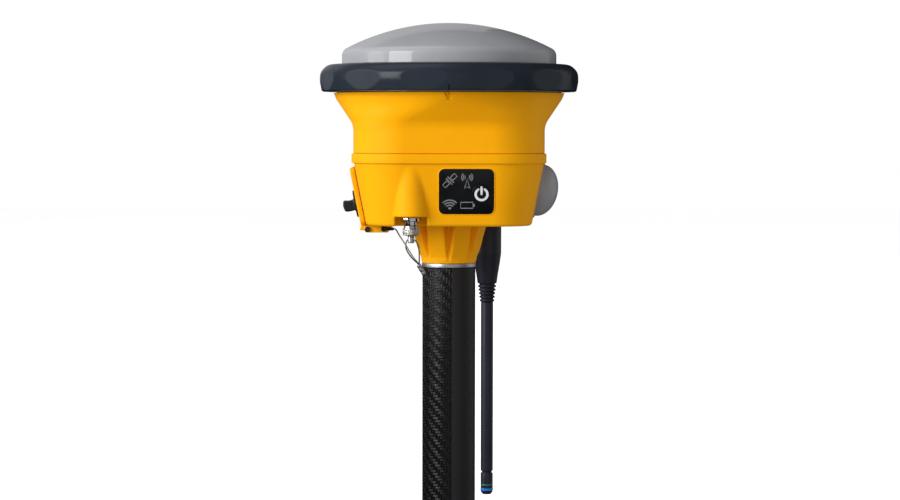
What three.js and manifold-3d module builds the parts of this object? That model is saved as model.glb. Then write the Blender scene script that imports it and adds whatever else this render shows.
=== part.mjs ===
// A GNSS receiver screwed on the top section of a carbon-fibre pole.
// Millimetres, +Z up, the front (control panel) faces -Y, the battery door faces -X.
// The origin is the centre of the pole section's bottom face. The receiver's own parts are
// placed in a group that starts at its seat, where the neck rests on the pole's flange.
import * as THREE from "three";
import { mergeVertices } from "three/addons/utils/BufferGeometryUtils.js";
import Module from "manifold-3d";

const wasm = await Module();
wasm.setup();

// ---- driving dimensions ----
const SEAT = 150; // height of the receiver's seat above the pole section's end
const ROUND = 32; // segments round the large parts
const SMALL = 12; // segments round the small parts
const GAP = 0.3; // clearance between parts that are set into one another

const BODY_BOTTOM = 20.9;
const BODY_HALF = 43.8; // half-width of the lower housing at its bottom
const TAPER = 0.2; // growth of that half-width per mm of height
const FLAT = 23.5; // half-length of the straight sides in plan
const WALL = 2.5;
const BAND_BOTTOM = 54;
const BAND_TOP = 59;
const BAND_HALF = 51.65;
const WAIST_BOTTOM = 59.5;
const WAIST_TOP = 72;
const WAIST_HALF = 50.7;
const FLARE_TOP = 91.2;
const FLARE_R = 62;
const DECK = 2.5;

const BUMPER_R = 69.5;
const BUMPER_BOTTOM = 91.9;
const BUMPER_TOP = 106.8;
const FACETS = { count: 12, r: 68.4, start: 3.8 }; // flats cut round the bumper; start in degrees
const RADOME_R = 57.6;
const RADOME_TOP = 128.8;
const RADOME_SPHERE = 118.7;
const SHOULDER = 4.5;

const LEAN = Math.atan(TAPER); // lean of the lower housing's sides
const JACK = { x: -19.8, y: -42.3, face: 26, reach: 8.2 }; // front aerial socket
const REAR_JACK = { x: 21.2, y: 42.3, face: 26, reach: 8.8 };
const PANEL = { x: 9.2, z: 39.4, width: 28.6, height: 23.9, corner: 2.8, thick: 1.3 };
const BUTTON = { x: 16.6, z: 38.7, r: 4.7 };
const DOOR = { bottom: 21.3, top: 51.8, half: 22.5, lift: 0.4, thick: 2.65 };
const OPENING = { bottom: 27, top: 48.4, half: 20 };
const HINGE = { x: -43.1, z: 18.9, pin: 0.9, knuckle: 1.6 };
const LATCH_Z = 32.5;
const ANCHOR = { x: -34.4, y: -25, z: 19.1 }; // screw that holds the lanyard
const COVER = { z: 39.4, flange: 15.2, dome: 14, height: 11.2 };
const PORT = { x: -16, z: 38, r: 6.2 };
const BATTERY = { left: -39, right: 25.5, half: 19.2, bottom: 27.3, top: 47.9 };
const BOARD = { halfX: 27, halfY: 37, z: 64, thick: 1.6 };
const SCREW = { x: 32, y: 29, head: 2.6, shank: 1.5 };
const STUD_R = 7.94; // 5/8 inch thread, drawn at its outer diameter
const POLE_R = 14.29;
const FLANGE_R = 14.7;
const FLANGE = 2.3;
const WHIP = { boot: 7.8, shaft: 3.4, bootEnd: -13.5, reliefEnd: -23.8, groove: -118.6, tip: -131 };

// ---- materials ----
const paint = (color, roughness, metalness = 0) =>
  new THREE.MeshStandardMaterial({ color, roughness, metalness });
const yellow = paint(0xf2a90c, 0.5);
const greyPlastic = paint(0x9a9ca1, 0.3);
const coverGrey = paint(0x77797f, 0.35);
const bumperRubber = paint(0x2a2e35, 0.6);
const blackPlastic = paint(0x1b1b1e, 0.45);
const sealRubber = paint(0x18181a, 0.8);
const steel = paint(0xb9b6b0, 0.3, 1);
const chrome = paint(0xd6d6da, 0.12, 1);
const brass = paint(0xc19a4b, 0.35, 1);
const aluminium = paint(0xc3c7c9, 0.35, 1);
const carbon = paint(0x1b1a1c, 0.3);
const board = paint(0x1d5b36, 0.5);
const ceramic = paint(0xd8cfb8, 0.6);
const tin = paint(0xb4b7b9, 0.4, 1);
const batteryBlack = paint(0x222428, 0.6);
const green = paint(0x2f7d5c, 0.5);
const blue = paint(0x1f6fe0, 0.5);

// ---- helpers ----
const root = new THREE.Group();
const receiver = new THREE.Group();
receiver.position.z = SEAT;
root.add(receiver);

function add(name, geometry, material, group = receiver) {
  const mesh = new THREE.Mesh(geometry, material);
  mesh.name = name;
  group.add(mesh);
  return mesh;
}

// A geometry as a solid that can be joined and cut.
function solid(geometry) {
  const plain = geometry.clone();
  plain.deleteAttribute("normal");
  plain.deleteAttribute("uv");
  const merged = mergeVertices(plain, 1e-4);
  return new wasm.Manifold(
    new wasm.Mesh({
      numProp: 3,
      vertProperties: merged.attributes.position.array,
      triVerts: new Uint32Array(merged.index.array),
    }),
  );
}

// A solid as a geometry.
function shape(manifold) {
  const mesh = manifold.getMesh();
  const geometry = new THREE.BufferGeometry();
  geometry.setAttribute("position", new THREE.BufferAttribute(mesh.vertProperties, 3));
  geometry.setIndex(new THREE.BufferAttribute(mesh.triVerts, 1));
  return geometry;
}

function box(x0, x1, y0, y1, z0, z1) {
  return new THREE.BoxGeometry(x1 - x0, y1 - y0, z1 - z0).translate(
    (x0 + x1) / 2,
    (y0 + y1) / 2,
    (z0 + z1) / 2,
  );
}

// A profile of [radius, height] pairs turned about Z.
function turned(profile, segments = SMALL, start = 0) {
  const points = profile.map(([r, z]) => new THREE.Vector2(r, z));
  return new THREE.LatheGeometry(points, segments, start).rotateX(Math.PI / 2);
}

const rod = (r, z0, z1, segments = SMALL) =>
  turned([[0, z0], [r, z0], [r, z1], [0, z1]], segments);
const tube = (inner, outer, z0, z1, segments = SMALL) =>
  turned([[inner, z0], [outer, z0], [outer, z1], [inner, z1], [inner, z0]], segments);

// A turned profile with four straight sides in plan, of half-length flatAt(z).
function squared(profile, flatAt) {
  const geometry = turned(profile, ROUND, Math.PI / ROUND);
  const p = geometry.attributes.position;
  for (let i = 0; i < p.count; i++) {
    const [x, y] = [p.getX(i), p.getY(i)];
    const r = Math.hypot(x, y);
    if (r < 1e-6) continue;
    const flat = Math.min(flatAt(p.getZ(i)), r / 2);
    const shrink = (r - flat) / r;
    p.setXY(i, x * shrink + flat * Math.sign(x), y * shrink + flat * Math.sign(y));
  }
  return geometry;
}

// A plate with round corners, lying in XY and extruded up to z = thick.
function plate(width, height, corner, thick) {
  const [a, b] = [width / 2, height / 2];
  const s = new THREE.Shape();
  s.moveTo(-a + corner, -b);
  s.lineTo(a - corner, -b);
  s.absarc(a - corner, -b + corner, corner, -Math.PI / 2, 0);
  s.lineTo(a, b - corner);
  s.absarc(a - corner, b - corner, corner, 0, Math.PI / 2);
  s.lineTo(-a + corner, b);
  s.absarc(-a + corner, b - corner, corner, Math.PI / 2, Math.PI);
  s.lineTo(-a, -b + corner);
  s.absarc(-a + corner, -b + corner, corner, Math.PI, 1.5 * Math.PI);
  return new THREE.ExtrudeGeometry(s, { depth: thick, bevelEnabled: false, curveSegments: 3 });
}

const halfAt = (z) => BODY_HALF + TAPER * (z - BODY_BOTTOM);

// Carries a shape drawn in XY, with +Z outward, onto one of the leaning sides at a height z.
// turn is the side's direction about Z: 0 for the front (-Y), 90 for the right, 180 for the rear.
function onSide(geometry, turn, across, z, outward = 0) {
  const place = new THREE.Matrix4()
    .makeRotationZ((turn * Math.PI) / 180)
    .multiply(new THREE.Matrix4().makeTranslation(across, -halfAt(z), z))
    .multiply(new THREE.Matrix4().makeRotationX(Math.PI / 2 + LEAN))
    .multiply(new THREE.Matrix4().makeTranslation(0, 0, outward));
  return geometry.applyMatrix4(place);
}
const [FRONT, RIGHT, REAR, LEFT] = [0, 90, 180, 270];

// A round cord along points, as an extrusion of a regular polygon.
function cord(points, r, steps, sides = 8) {
  const path = new THREE.CatmullRomCurve3(points.map((p) => new THREE.Vector3(...p)));
  const section = new THREE.Shape();
  for (let i = 0; i < sides; i++) {
    const a = (2 * Math.PI * i) / sides;
    const corner = [r * Math.cos(a), r * Math.sin(a)];
    if (i) section.lineTo(...corner);
    else section.moveTo(...corner);
  }
  return new THREE.ExtrudeGeometry(section, { steps, bevelEnabled: false, extrudePath: path });
}

// ---- pole section ----
function polePieces() {
  const tubeBottom = 6;
  const tubeTop = SEAT - FLANGE;
  const boreR = 12.6;
  const spigotR = boreR - GAP;
  add("pole_tube", tube(boreR, POLE_R, tubeBottom, tubeTop, 24), carbon, root);

  const relief = 1.3; // depth of the groove under the thread and of the stud's chamfer
  const stud = [[0, SEAT - 30], [spigotR, SEAT - 30], [spigotR, tubeTop]];
  stud.push([FLANGE_R, tubeTop], [FLANGE_R, SEAT], [STUD_R - relief, SEAT]);
  stud.push([STUD_R - relief, SEAT + 2], [STUD_R, SEAT + 3], [STUD_R, SEAT + 20]);
  stud.push([STUD_R - relief, SEAT + 21], [0, SEAT + 21]);
  add("pole_top_ferrule", turned(stud, 24), aluminium, root);

  const socketR = STUD_R + 0.3;
  const end = [[0, 20], [socketR, 20], [socketR, 1], [socketR + 1, 0], [FLANGE_R, 0]];
  end.push([FLANGE_R, tubeBottom], [spigotR, tubeBottom], [spigotR, 32], [0, 32]);
  add("pole_bottom_ferrule", turned(end, 24), aluminium, root);
}

// ---- neck ----
function neckPieces() {
  const collar = 14.5;
  const bore = 11.8;
  const holeR = 17;
  const low = 0.05;
  const profile = [[bore, low], [collar, low], [collar, 3], [16, BODY_BOTTOM - 0.1]];
  profile.push([holeR - GAP, BODY_BOTTOM - 0.1], [holeR - GAP, BODY_BOTTOM + WALL + 0.2]);
  const top = 25.4;
  profile.push([24, BODY_BOTTOM + WALL + 0.2], [24, top], [bore, top], [bore, low]);
  let neck = solid(turned(profile, 24));
  const rib = new THREE.Shape();
  rib.moveTo(13, 3);
  rib.lineTo(collar, 3);
  rib.lineTo(19.9, BODY_BOTTOM - 0.1);
  rib.lineTo(13, BODY_BOTTOM - 0.1);
  const ribWidth = 6.5;
  for (let i = 0; i < 8; i++) {
    const blade = new THREE.ExtrudeGeometry(rib, { depth: ribWidth, bevelEnabled: false })
      .translate(0, 0, -ribWidth / 2)
      .rotateX(Math.PI / 2)
      .rotateZ(((i + 0.5) * Math.PI) / 4);
    neck = neck.add(solid(blade));
  }
  add("pole_neck", shape(neck), yellow);
  add("threaded_insert", tube(STUD_R + 0.3, bore - GAP, 0.2, 25.2, 24), brass);
}

// ---- lower housing ----
function blister(jack, inset) {
  const low = jack.face - 0.5;
  const high = 54;
  const shell = rod(1, low, high, 16);
  const p = shell.attributes.position;
  for (let i = 0; i < p.count; i++) {
    const r = 9.25 - 0.0625 * (p.getZ(i) - jack.face) - inset;
    p.setXY(i, p.getX(i) * r + jack.x, p.getY(i) * r + jack.y);
  }
  return shell;
}

function notch(jack, grow, top) {
  const side = Math.sign(jack.y);
  const inner = jack.y - side * (8.6 + grow);
  const outer = jack.y + side * 14;
  const reach = jack.reach + grow;
  return box(
    jack.x - reach, jack.x + reach, Math.min(inner, outer), Math.max(inner, outer),
    BODY_BOTTOM - 1, top,
  );
}

const corners = [[-1, -1], [1, -1], [1, 1], [-1, 1]].map(([a, b]) => [a * SCREW.x, b * SCREW.y]);

function lowerHousing() {
  const round = 3;
  const outerProfile = [[0, BODY_BOTTOM], [BODY_HALF - round, BODY_BOTTOM]];
  outerProfile.push([BODY_HALF - 0.9, BODY_BOTTOM + 0.8]);
  outerProfile.push([halfAt(BODY_BOTTOM + round), BODY_BOTTOM + round]);
  outerProfile.push([halfAt(BAND_BOTTOM), BAND_BOTTOM], [BAND_HALF, BAND_BOTTOM + 0.6]);
  outerProfile.push([BAND_HALF, BAND_TOP], [0, BAND_TOP]);
  const floor = BODY_BOTTOM + WALL;
  const innerProfile = [[0, floor], [halfAt(floor) - WALL, floor]];
  innerProfile.push([halfAt(BAND_TOP + 1) - WALL - 0.8, BAND_TOP + 1], [0, BAND_TOP + 1]);
  const flat = () => FLAT;
  let body = solid(squared(outerProfile, flat));
  let cavity = solid(squared(innerProfile, flat));
  for (const jack of [JACK, REAR_JACK]) {
    body = body.add(solid(blister(jack, 0)));
    cavity = cavity.add(solid(blister(jack, WALL)));
  }
  for (const jack of [JACK, REAR_JACK]) {
    cavity = cavity.subtract(solid(notch(jack, WALL, jack.face + WALL)));
  }
  for (const [x, y] of corners) {
    cavity = cavity.subtract(solid(rod(4.2, floor - 1, BAND_TOP + 2, 8).translate(x, y, 0)));
  }
  body = body.subtract(cavity);
  const cuts = [rod(17, BODY_BOTTOM - 1, floor + 1, 24)];
  for (const jack of [JACK, REAR_JACK]) {
    cuts.push(notch(jack, 0, jack.face));
    cuts.push(rod(3.2, jack.face - 1, jack.face + WALL + 1).translate(jack.x, jack.y, 0));
  }
  for (const [x, y] of corners) {
    cuts.push(rod(SCREW.shank + GAP, BODY_BOTTOM - 1, BAND_TOP + 1, 8).translate(x, y, 0));
    cuts.push(rod(SCREW.head + GAP, BODY_BOTTOM - 1, BODY_BOTTOM + 2, 8).translate(x, y, 0));
  }
  cuts.push(box(-60, -38, -OPENING.half, OPENING.half, OPENING.bottom, OPENING.top));
  cuts.push(onSide(rod(11, -6, 4, 16), RIGHT, 0, COVER.z));
  cuts.push(onSide(rod(PORT.r + GAP, -6, 4, 16), REAR, -PORT.x, PORT.z));
  const { width, height, corner, thick } = PANEL;
  const recess = plate(width + 2 * GAP, height + 2 * GAP, corner + GAP, 4);
  cuts.push(onSide(recess, FRONT, PANEL.x, PANEL.z, -thick - GAP));
  cuts.push(onSide(rod(BUTTON.r - 0.6, -6, 4, 16), FRONT, BUTTON.x, BUTTON.z));
  for (const cut of cuts) body = body.subtract(solid(cut));
  add("lower_housing", shape(body), yellow);
}

// ---- upper housing, bumper and radome ----
const flareFlat = (z) => {
  const t = THREE.MathUtils.clamp((z - WAIST_TOP) / (FLARE_TOP - 1 - WAIST_TOP), 0, 1);
  return FLAT * (1 - THREE.MathUtils.smoothstep(t, 0, 1));
};
const flareHalf = (z) => {
  const [kink, lip] = [75, 88];
  const [kinkHalf, lipHalf] = [WAIST_HALF + 0.3, FLARE_R - 1.3];
  if (z <= WAIST_TOP) return WAIST_HALF;
  if (z < kink) return WAIST_HALF + 0.3 * ((z - WAIST_TOP) / (kink - WAIST_TOP)) ** 2;
  if (z < lip) return kinkHalf + ((lipHalf - kinkHalf) * (z - kink)) / (lip - kink);
  return lipHalf + ((FLARE_R - lipHalf) * (z - lip)) / (FLARE_TOP - lip);
};

function upperHousing() {
  const levels = [WAIST_BOTTOM, WAIST_TOP, 75, 79.3, 83.7, 88, FLARE_TOP];
  const deck = FLARE_TOP - DECK;
  const inner = [...levels.filter((z) => z < deck - 1), deck].reverse();
  const profile = [[0, deck], ...inner.map((z) => [flareHalf(z) - WALL, z])];
  profile.push(...levels.map((z) => [flareHalf(z), z]), [0, FLARE_TOP]);
  let body = solid(squared(profile, flareFlat));
  for (const [x, y] of corners) {
    const boss = rod(4.2, WAIST_BOTTOM, FLARE_TOP - 1, 8).translate(x, y, 0);
    const hole = rod(SCREW.shank + GAP, WAIST_BOTTOM - 1, 68, 8).translate(x, y, 0);
    body = body.add(solid(boss)).subtract(solid(hole));
  }
  body = body.subtract(solid(rod(8, FLARE_TOP - 5, FLARE_TOP + 1, 12)));
  const tab = new THREE.CylinderGeometry(2.6, 1.2, 4, 8).rotateX(Math.PI / 2);
  tab.translate(0, -FLARE_R + 2.2, FLARE_TOP - 2);
  body = body.add(solid(tab));
  add("upper_housing", shape(body), yellow);
  const ring = [[WAIST_HALF - 2.6, BAND_TOP], [WAIST_HALF - 0.4, BAND_TOP]];
  ring.push([WAIST_HALF - 0.4, WAIST_BOTTOM], [WAIST_HALF - 2.6, WAIST_BOTTOM], ring[0]);
  let gasket = solid(squared(ring, () => FLAT));
  for (const [x, y] of corners) {
    gasket = gasket.subtract(solid(rod(4.4, BAND_TOP - 1, WAIST_BOTTOM + 1, 8).translate(x, y, 0)));
  }
  add("housing_gasket", shape(gasket), sealRubber);
}

function radomeProfile(inset) {
  const sphere = RADOME_SPHERE - inset;
  const centre = RADOME_TOP - RADOME_SPHERE;
  const profile = [];
  const rim = RADOME_R - SHOULDER;
  const cornerAngle = Math.asin(rim / (RADOME_SPHERE - SHOULDER));
  const [capSteps, cornerSteps] = [4, 3];
  for (let i = 0; i <= capSteps; i++) {
    const a = (cornerAngle * i) / capSteps;
    profile.push([sphere * Math.sin(a), centre + sphere * Math.cos(a)]);
  }
  const cz = centre + (RADOME_SPHERE - SHOULDER) * Math.cos(cornerAngle);
  for (let i = 1; i <= cornerSteps; i++) {
    const a = cornerAngle + ((Math.PI / 2 - cornerAngle) * i) / cornerSteps;
    profile.push([rim + (SHOULDER - inset) * Math.sin(a), cz + (SHOULDER - inset) * Math.cos(a)]);
  }
  return profile;
}

function topPieces() {
  const flangeTop = 94.2;
  const flangeBottom = 91.7;
  const outside = radomeProfile(0);
  const inside = radomeProfile(WALL).reverse();
  const profile = [...outside, [RADOME_R, flangeTop], [FLARE_R, flangeTop]];
  profile.push([FLARE_R, flangeBottom], [RADOME_R - WALL, flangeBottom], ...inside);
  add("radome", turned(profile.reverse(), ROUND), greyPlastic);
  add("radome_gasket", tube(55.5, 60.5, FLARE_TOP, flangeBottom, ROUND), sealRubber);

  const inner = RADOME_R + 0.2;
  const bumper = [[FLARE_R + 0.3, BUMPER_BOTTOM], [BUMPER_R - 1.6, BUMPER_BOTTOM]];
  bumper.push([BUMPER_R - 0.7, BUMPER_BOTTOM + 1.4], [BUMPER_R, 97.5], [BUMPER_R - 0.3, 100.5]);
  bumper.push([BUMPER_R - 1.3, 103], [BUMPER_R - 3, 105.1], [BUMPER_R - 5.5, 106.2]);
  bumper.push([inner + 0.4, BUMPER_TOP], [inner, BUMPER_TOP - 0.4], [inner, flangeTop + 0.2]);
  bumper.push([FLARE_R + 0.3, flangeTop + 0.2], bumper[0]);
  const corner = FACETS.r / Math.cos(Math.PI / FACETS.count);
  const [low, high] = [BUMPER_BOTTOM - 1, BUMPER_TOP + 1];
  const start = (FACETS.start * Math.PI) / 180;
  const prism = turned([[0, low], [corner, low], [corner, high], [0, high]], FACETS.count, start);
  add("bumper_ring", shape(solid(turned(bumper, ROUND)).intersect(solid(prism))), bumperRubber);

  const planeBottom = 92.2;
  add("ground_plane", tube(4, 54.6, planeBottom, planeBottom + 1.6, 24), board);
  add("antenna_base", rod(38, planeBottom + 1.7, planeBottom + 6.2, 24), ceramic);
  add("antenna_patch", rod(30, planeBottom + 6.3, planeBottom + 9.8, 24), brass);
  add("amplifier_shield", box(-16, 16, 10, 34, 84, 88.5), tin);
}

// ---- electronics ----
function electronics() {
  const { halfX, halfY, z, thick } = BOARD;
  add("main_board", box(-halfX, halfX, -halfY, halfY, z, z + thick), board);
  const top = z + thick + 0.1;
  add("shield_can", box(-22, 22, -4, 30, top, top + 4), tin);
  add("radio_module", box(-24, 0, -32, -10, top, top + 5), tin);
  const { width, height } = PANEL;
  const keys = box(-width / 2 + 2, width / 2 - 2, -height / 2 + 2, height / 2 - 2, -6.2, -5);
  add("key_board", onSide(keys, FRONT, PANEL.x, PANEL.z), board);
  add("key_switch", onSide(rod(2.6, -4.9, -4), FRONT, BUTTON.x, BUTTON.z), tin);
  add("side_antenna", onSide(box(-8, 8, -8, 8, -0.6, 0.6), RIGHT, 0, COVER.z, 2), board);

  const c = BATTERY;
  const wall = 1.5;
  const clear = GAP;
  let bay = solid(
    box(c.left - 2, c.right + wall + 2.4, -c.half - clear - wall, c.half + clear + wall,
      c.bottom - clear - wall + 0.1, c.top + clear + wall),
  );
  bay = bay.subtract(
    solid(box(c.left - 3, c.right + 2.4, -c.half - clear, c.half + clear, c.bottom - clear, c.top + clear)),
  );
  for (const [x, y] of [[-23, -17], [23, -17], [23, 17], [-23, 17]]) {
    bay = bay.add(solid(rod(2.4, c.top + 1, z - 0.1, 12).translate(x, y, 0)));
  }
  add("battery_bay", shape(bay), blackPlastic);
  const pack = plate(2 * c.half, c.top - c.bottom, 2, c.right - c.left);
  pack.rotateX(Math.PI / 2).rotateZ(Math.PI / 2).translate(c.left, 0, (c.top + c.bottom) / 2);
  add("battery_pack", pack, batteryBlack);
  add("battery_contacts", box(c.right + 0.4, c.right + 2.2, -9, 9, 33, 41), brass);

  const loop = (jack, end) => [
    [jack.x, jack.y, jack.face + 6.5],
    [jack.x, jack.y, jack.face + 10],
    [jack.x, jack.y + Math.sign(jack.y) * 0.6, 48],
    [jack.x, jack.y + Math.sign(jack.y) * 0.6, 60],
    [jack.x * 0.95, jack.y - Math.sign(jack.y) * 1.5, 66.5],
    [jack.x * 0.9, end - Math.sign(end) * -4, 68.6],
    [jack.x * 0.9, end, 68.6],
  ];
  add("front_coax", cord(loop(JACK, -32.4), 1, 20, 8), blackPlastic);
  add("rear_coax", cord(loop(REAR_JACK, 30.4), 1, 20, 8), blackPlastic);
}

// ---- control panel, side cover, port ----
function sidePieces() {
  const { width, height, corner, thick } = PANEL;
  let face = solid(plate(width, height, corner, thick));
  const hole = rod(BUTTON.r + 0.15, -1, thick + 1, 20);
  const along = (BUTTON.z - PANEL.z) / Math.cos(LEAN);
  face = face.subtract(solid(hole.translate(BUTTON.x - PANEL.x, along, 0)));
  add("control_panel", onSide(shape(face), FRONT, PANEL.x, PANEL.z, -thick), blackPlastic);
  const cap = turned(
    [[0, -3], [2, -3], [2, -1.3], [BUTTON.r - 0.9, -1.3], [BUTTON.r - 0.9, -0.6]]
      .concat([[BUTTON.r, -0.6], [BUTTON.r, 0.15], [BUTTON.r - 0.3, 0.4], [0, 0.4]]),
    20,
  );
  add("power_button", onSide(cap, FRONT, BUTTON.x, BUTTON.z), blackPlastic);

  const dome = [[0, COVER.height]];
  for (let i = 1; i <= 4; i++) {
    const a = (i * Math.PI) / 8;
    dome.push([COVER.dome * Math.sin(a), 1.3 + (COVER.height - 1.3) * Math.cos(a)]);
  }
  dome.push([COVER.flange, 1.3], [COVER.flange, 0.35], [COVER.dome - 1.8, 0.35]);
  for (let i = 3; i >= 1; i--) {
    const a = (i * Math.PI) / 8;
    dome.push([(COVER.dome - 1.8) * Math.sin(a), 0.4 + (COVER.height - 2.4) * Math.cos(a)]);
  }
  dome.push([0, COVER.height - 2]);
  add("side_cover", onSide(turned(dome.reverse(), 24), RIGHT, 0, COVER.z), coverGrey);
  add("side_cover_seal", onSide(tube(12, 15, 0, 0.35, 24), RIGHT, 0, COVER.z), sealRubber);

  const socket = [[0, -5.5], [PORT.r, -5.5], [PORT.r, 0.3], [PORT.r - 1.2, 0.3]];
  socket.push([PORT.r - 1.2, -4.7], [2.2, -4.7], [2.2, -2.2], [0, -2.2]);
  add("data_port", onSide(turned(socket, 16), REAR, -PORT.x, PORT.z), steel);
  const [hingeY, hingeOut] = [9.5, 1.5];
  const flap = solid(plate(17, 16.5, 4, 1.6).translate(0, 0, 0.5));
  const plug = solid(rod(PORT.r - 1.5, -0.6, 0.6, 16));
  const knuckle = rod(1.2, -5, 5, 12).rotateY(Math.PI / 2).translate(0, hingeY, hingeOut);
  const web = box(-5, 5, 7, hingeY, 1, 2);
  const cover = flap.add(plug).add(solid(web)).add(solid(knuckle));
  const bore = rod(0.75, -6, 6, 10).rotateY(Math.PI / 2).translate(0, hingeY, hingeOut);
  add("port_flap", onSide(shape(cover.subtract(solid(bore))), REAR, -PORT.x, PORT.z), sealRubber);
  const pin = rod(0.5, -7.5, 7.5, 10).rotateY(Math.PI / 2).translate(0, hingeY, hingeOut);
  let hinge = solid(pin);
  for (const x of [-6.6, 6.6]) hinge = hinge.add(solid(box(x - 1.1, x + 1.1, 8.6, 10.6, 0.05, 2.4)));
  add("port_flap_hinge", onSide(shape(hinge), REAR, -PORT.x, PORT.z), steel);
}

// ---- battery door and latch ----
function doorPieces() {
  const span = (DOOR.top - DOOR.bottom) / Math.cos(LEAN);
  const middle = (DOOR.top + DOOR.bottom) / 2;
  const { lift } = DOOR;
  const panel = plate(2 * DOOR.half, span, 3, DOOR.thick);
  let door = solid(onSide(panel, LEFT, 0, middle, lift));
  const lip = plate(2 * OPENING.half - 1.2, 19.6, 2, 1.6);
  door = door.add(solid(onSide(lip, LEFT, 0, (OPENING.bottom + OPENING.top) / 2, lift - 1.5)));
  for (const y of [-15, 15]) {
    const knuckle = rod(HINGE.knuckle, y - 3.2, y + 3.2, 12).rotateX(-Math.PI / 2);
    door = door.add(solid(knuckle.translate(HINGE.x, 0, HINGE.z)));
    const arm = new THREE.Shape();
    arm.moveTo(HINGE.x - 0.6, HINGE.z - 1.4);
    arm.lineTo(HINGE.x - 0.9, HINGE.z + 1.3);
    arm.lineTo(-halfAt(22.6) - lift - 0.2, 22.6);
    arm.lineTo(-halfAt(23) - lift - 2, 23);
    arm.lineTo(-halfAt(21) - lift - 2.2, 21);
    const web = new THREE.ExtrudeGeometry(arm, { depth: 6.4, bevelEnabled: false });
    door = door.add(solid(web.translate(0, 0, -y - 3.2).rotateX(Math.PI / 2)));
  }
  const pinBore = rod(HINGE.pin + 0.2, -30, 30, 10).rotateX(Math.PI / 2);
  door = door.subtract(solid(pinBore.translate(HINGE.x, 0, HINGE.z)));
  door = door.subtract(solid(onSide(rod(3.2, -6, 6, 16), LEFT, 0, LATCH_Z)));
  add("battery_door", shape(door), yellow);

  const outer = plate(2 * OPENING.half + 3.4, 23, 2.6, 0.25);
  const hole = plate(2 * OPENING.half + 0.6, 20.6, 2, 2).translate(0, 0, -1);
  const sealShape = solid(outer).subtract(solid(hole));
  const sealZ = (OPENING.bottom + OPENING.top) / 2;
  add("door_seal", onSide(shape(sealShape), LEFT, 0, sealZ, 0.08), sealRubber);

  const base = lift + DOOR.thick + 0.2;
  const bar = new THREE.Shape();
  bar.moveTo(-2.7, 0);
  bar.lineTo(2.7, 0);
  bar.quadraticCurveTo(1.9, 3.4, 2.6, 6.8);
  bar.quadraticCurveTo(0, 7.8, -2.6, 6.6);
  bar.quadraticCurveTo(-3, 2.4, -2.7, 0);
  const wing = new THREE.ExtrudeGeometry(bar, { depth: 13.6, bevelEnabled: false, curveSegments: 4 });
  wing.translate(0, 0, -6.8).rotateX(Math.PI / 2).rotateZ(Math.PI / 2).translate(0, 0, base + 0.6);
  let knob = solid(rod(7.3, base, base + 1, 20)).add(solid(wing));
  const shaft = [[0, -5.7], [2.2, -5.7], [2.2, -5.1], [1.2, -5.1], [1.2, -2.6], [2.8, -2.6]];
  shaft.push([2.8, base + 0.5], [0, base + 0.5]);
  knob = knob.add(solid(turned(shaft)));
  add("latch_knob", onSide(shape(knob), LEFT, 0, LATCH_Z), blackPlastic);
  const [camReach, camThick] = [17, 1.4];
  let cam = solid(plate(camReach + 3.4, 6, 2.5, camThick).translate(camReach / 2 - 1.7, 0, 0));
  cam = cam.subtract(solid(rod(1.4, -1, 3, 12)));
  add("latch_cam", onSide(shape(cam), LEFT, 0, LATCH_Z, -4.9), steel);

  const [low, high] = [17, BODY_BOTTOM - 0.1];
  let bracket = solid(box(-38, -32.6, -25, 25, low, high));
  const lug = new THREE.Shape();
  const lugR = HINGE.z - low;
  lug.absarc(HINGE.x, HINGE.z, lugR, Math.PI, 1.5 * Math.PI);
  lug.lineTo(-32.6, low);
  lug.lineTo(-31, low + 1.6);
  lug.lineTo(-30.5, high);
  lug.lineTo(HINGE.x, high);
  lug.lineTo(HINGE.x - 1.4, HINGE.z + 1.3);
  const spans = [[-25, -18.6], [-11.4, 11.4], [18.6, 25]];
  for (const [y0, y1] of spans) {
    const tooth = new THREE.ExtrudeGeometry(lug, { depth: y1 - y0, bevelEnabled: false });
    bracket = bracket.add(solid(tooth.translate(0, 0, -y1).rotateX(Math.PI / 2)));
  }
  const clear = rod(HINGE.pin + 0.1, -30, 30, 10).rotateX(Math.PI / 2);
  bracket = bracket.subtract(solid(clear.translate(HINGE.x, 0, HINGE.z)));
  for (const y of [-15, 15]) {
    bracket = bracket.subtract(solid(rod(2.7, low - 1, low + 1.3, 12).translate(-35, y, 0)));
    bracket = bracket.subtract(solid(rod(1.5, low - 1, high + 1, 8).translate(-35, y, 0)));
    const head = [[0, low + 0.1], [2.4, low + 0.1], [2.4, low + 1.2], [1.3, low + 1.2]];
    const screw = turned([...head, [1.3, high - 0.1], [0, high - 0.1]]);
    add(y < 0 ? "bracket_screw_front" : "bracket_screw_rear", screw.translate(-35, y, 0), steel);
  }
  bracket = bracket.subtract(
    solid(rod(0.8, -30, -21, 12).rotateX(-Math.PI / 2).translate(ANCHOR.x, 0, ANCHOR.z)),
  );
  add("hinge_bracket", shape(bracket), yellow);
  const shank = HINGE.pin;
  const pin = turned([[0, -26], [shank, -26], [shank, 25.4], [1.6, 25.4], [1.6, 26.2], [0, 26.2]]);
  add("hinge_pin", pin.rotateX(Math.PI / 2).translate(HINGE.x, 0, HINGE.z), steel);
}

// ---- screws that close the case ----
function caseScrews() {
  corners.forEach(([x, y], i) => {
    const [low, under] = [BODY_BOTTOM + 0.3, BODY_BOTTOM + 1.8];
    const profile = [[0, low], [SCREW.head, low], [SCREW.head, under], [SCREW.shank, under]];
    profile.push([SCREW.shank, 66], [0, 66]);
    add("case_screw_" + (i + 1), turned(profile, 12).translate(x, y, 0), steel);
  });
}

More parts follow.
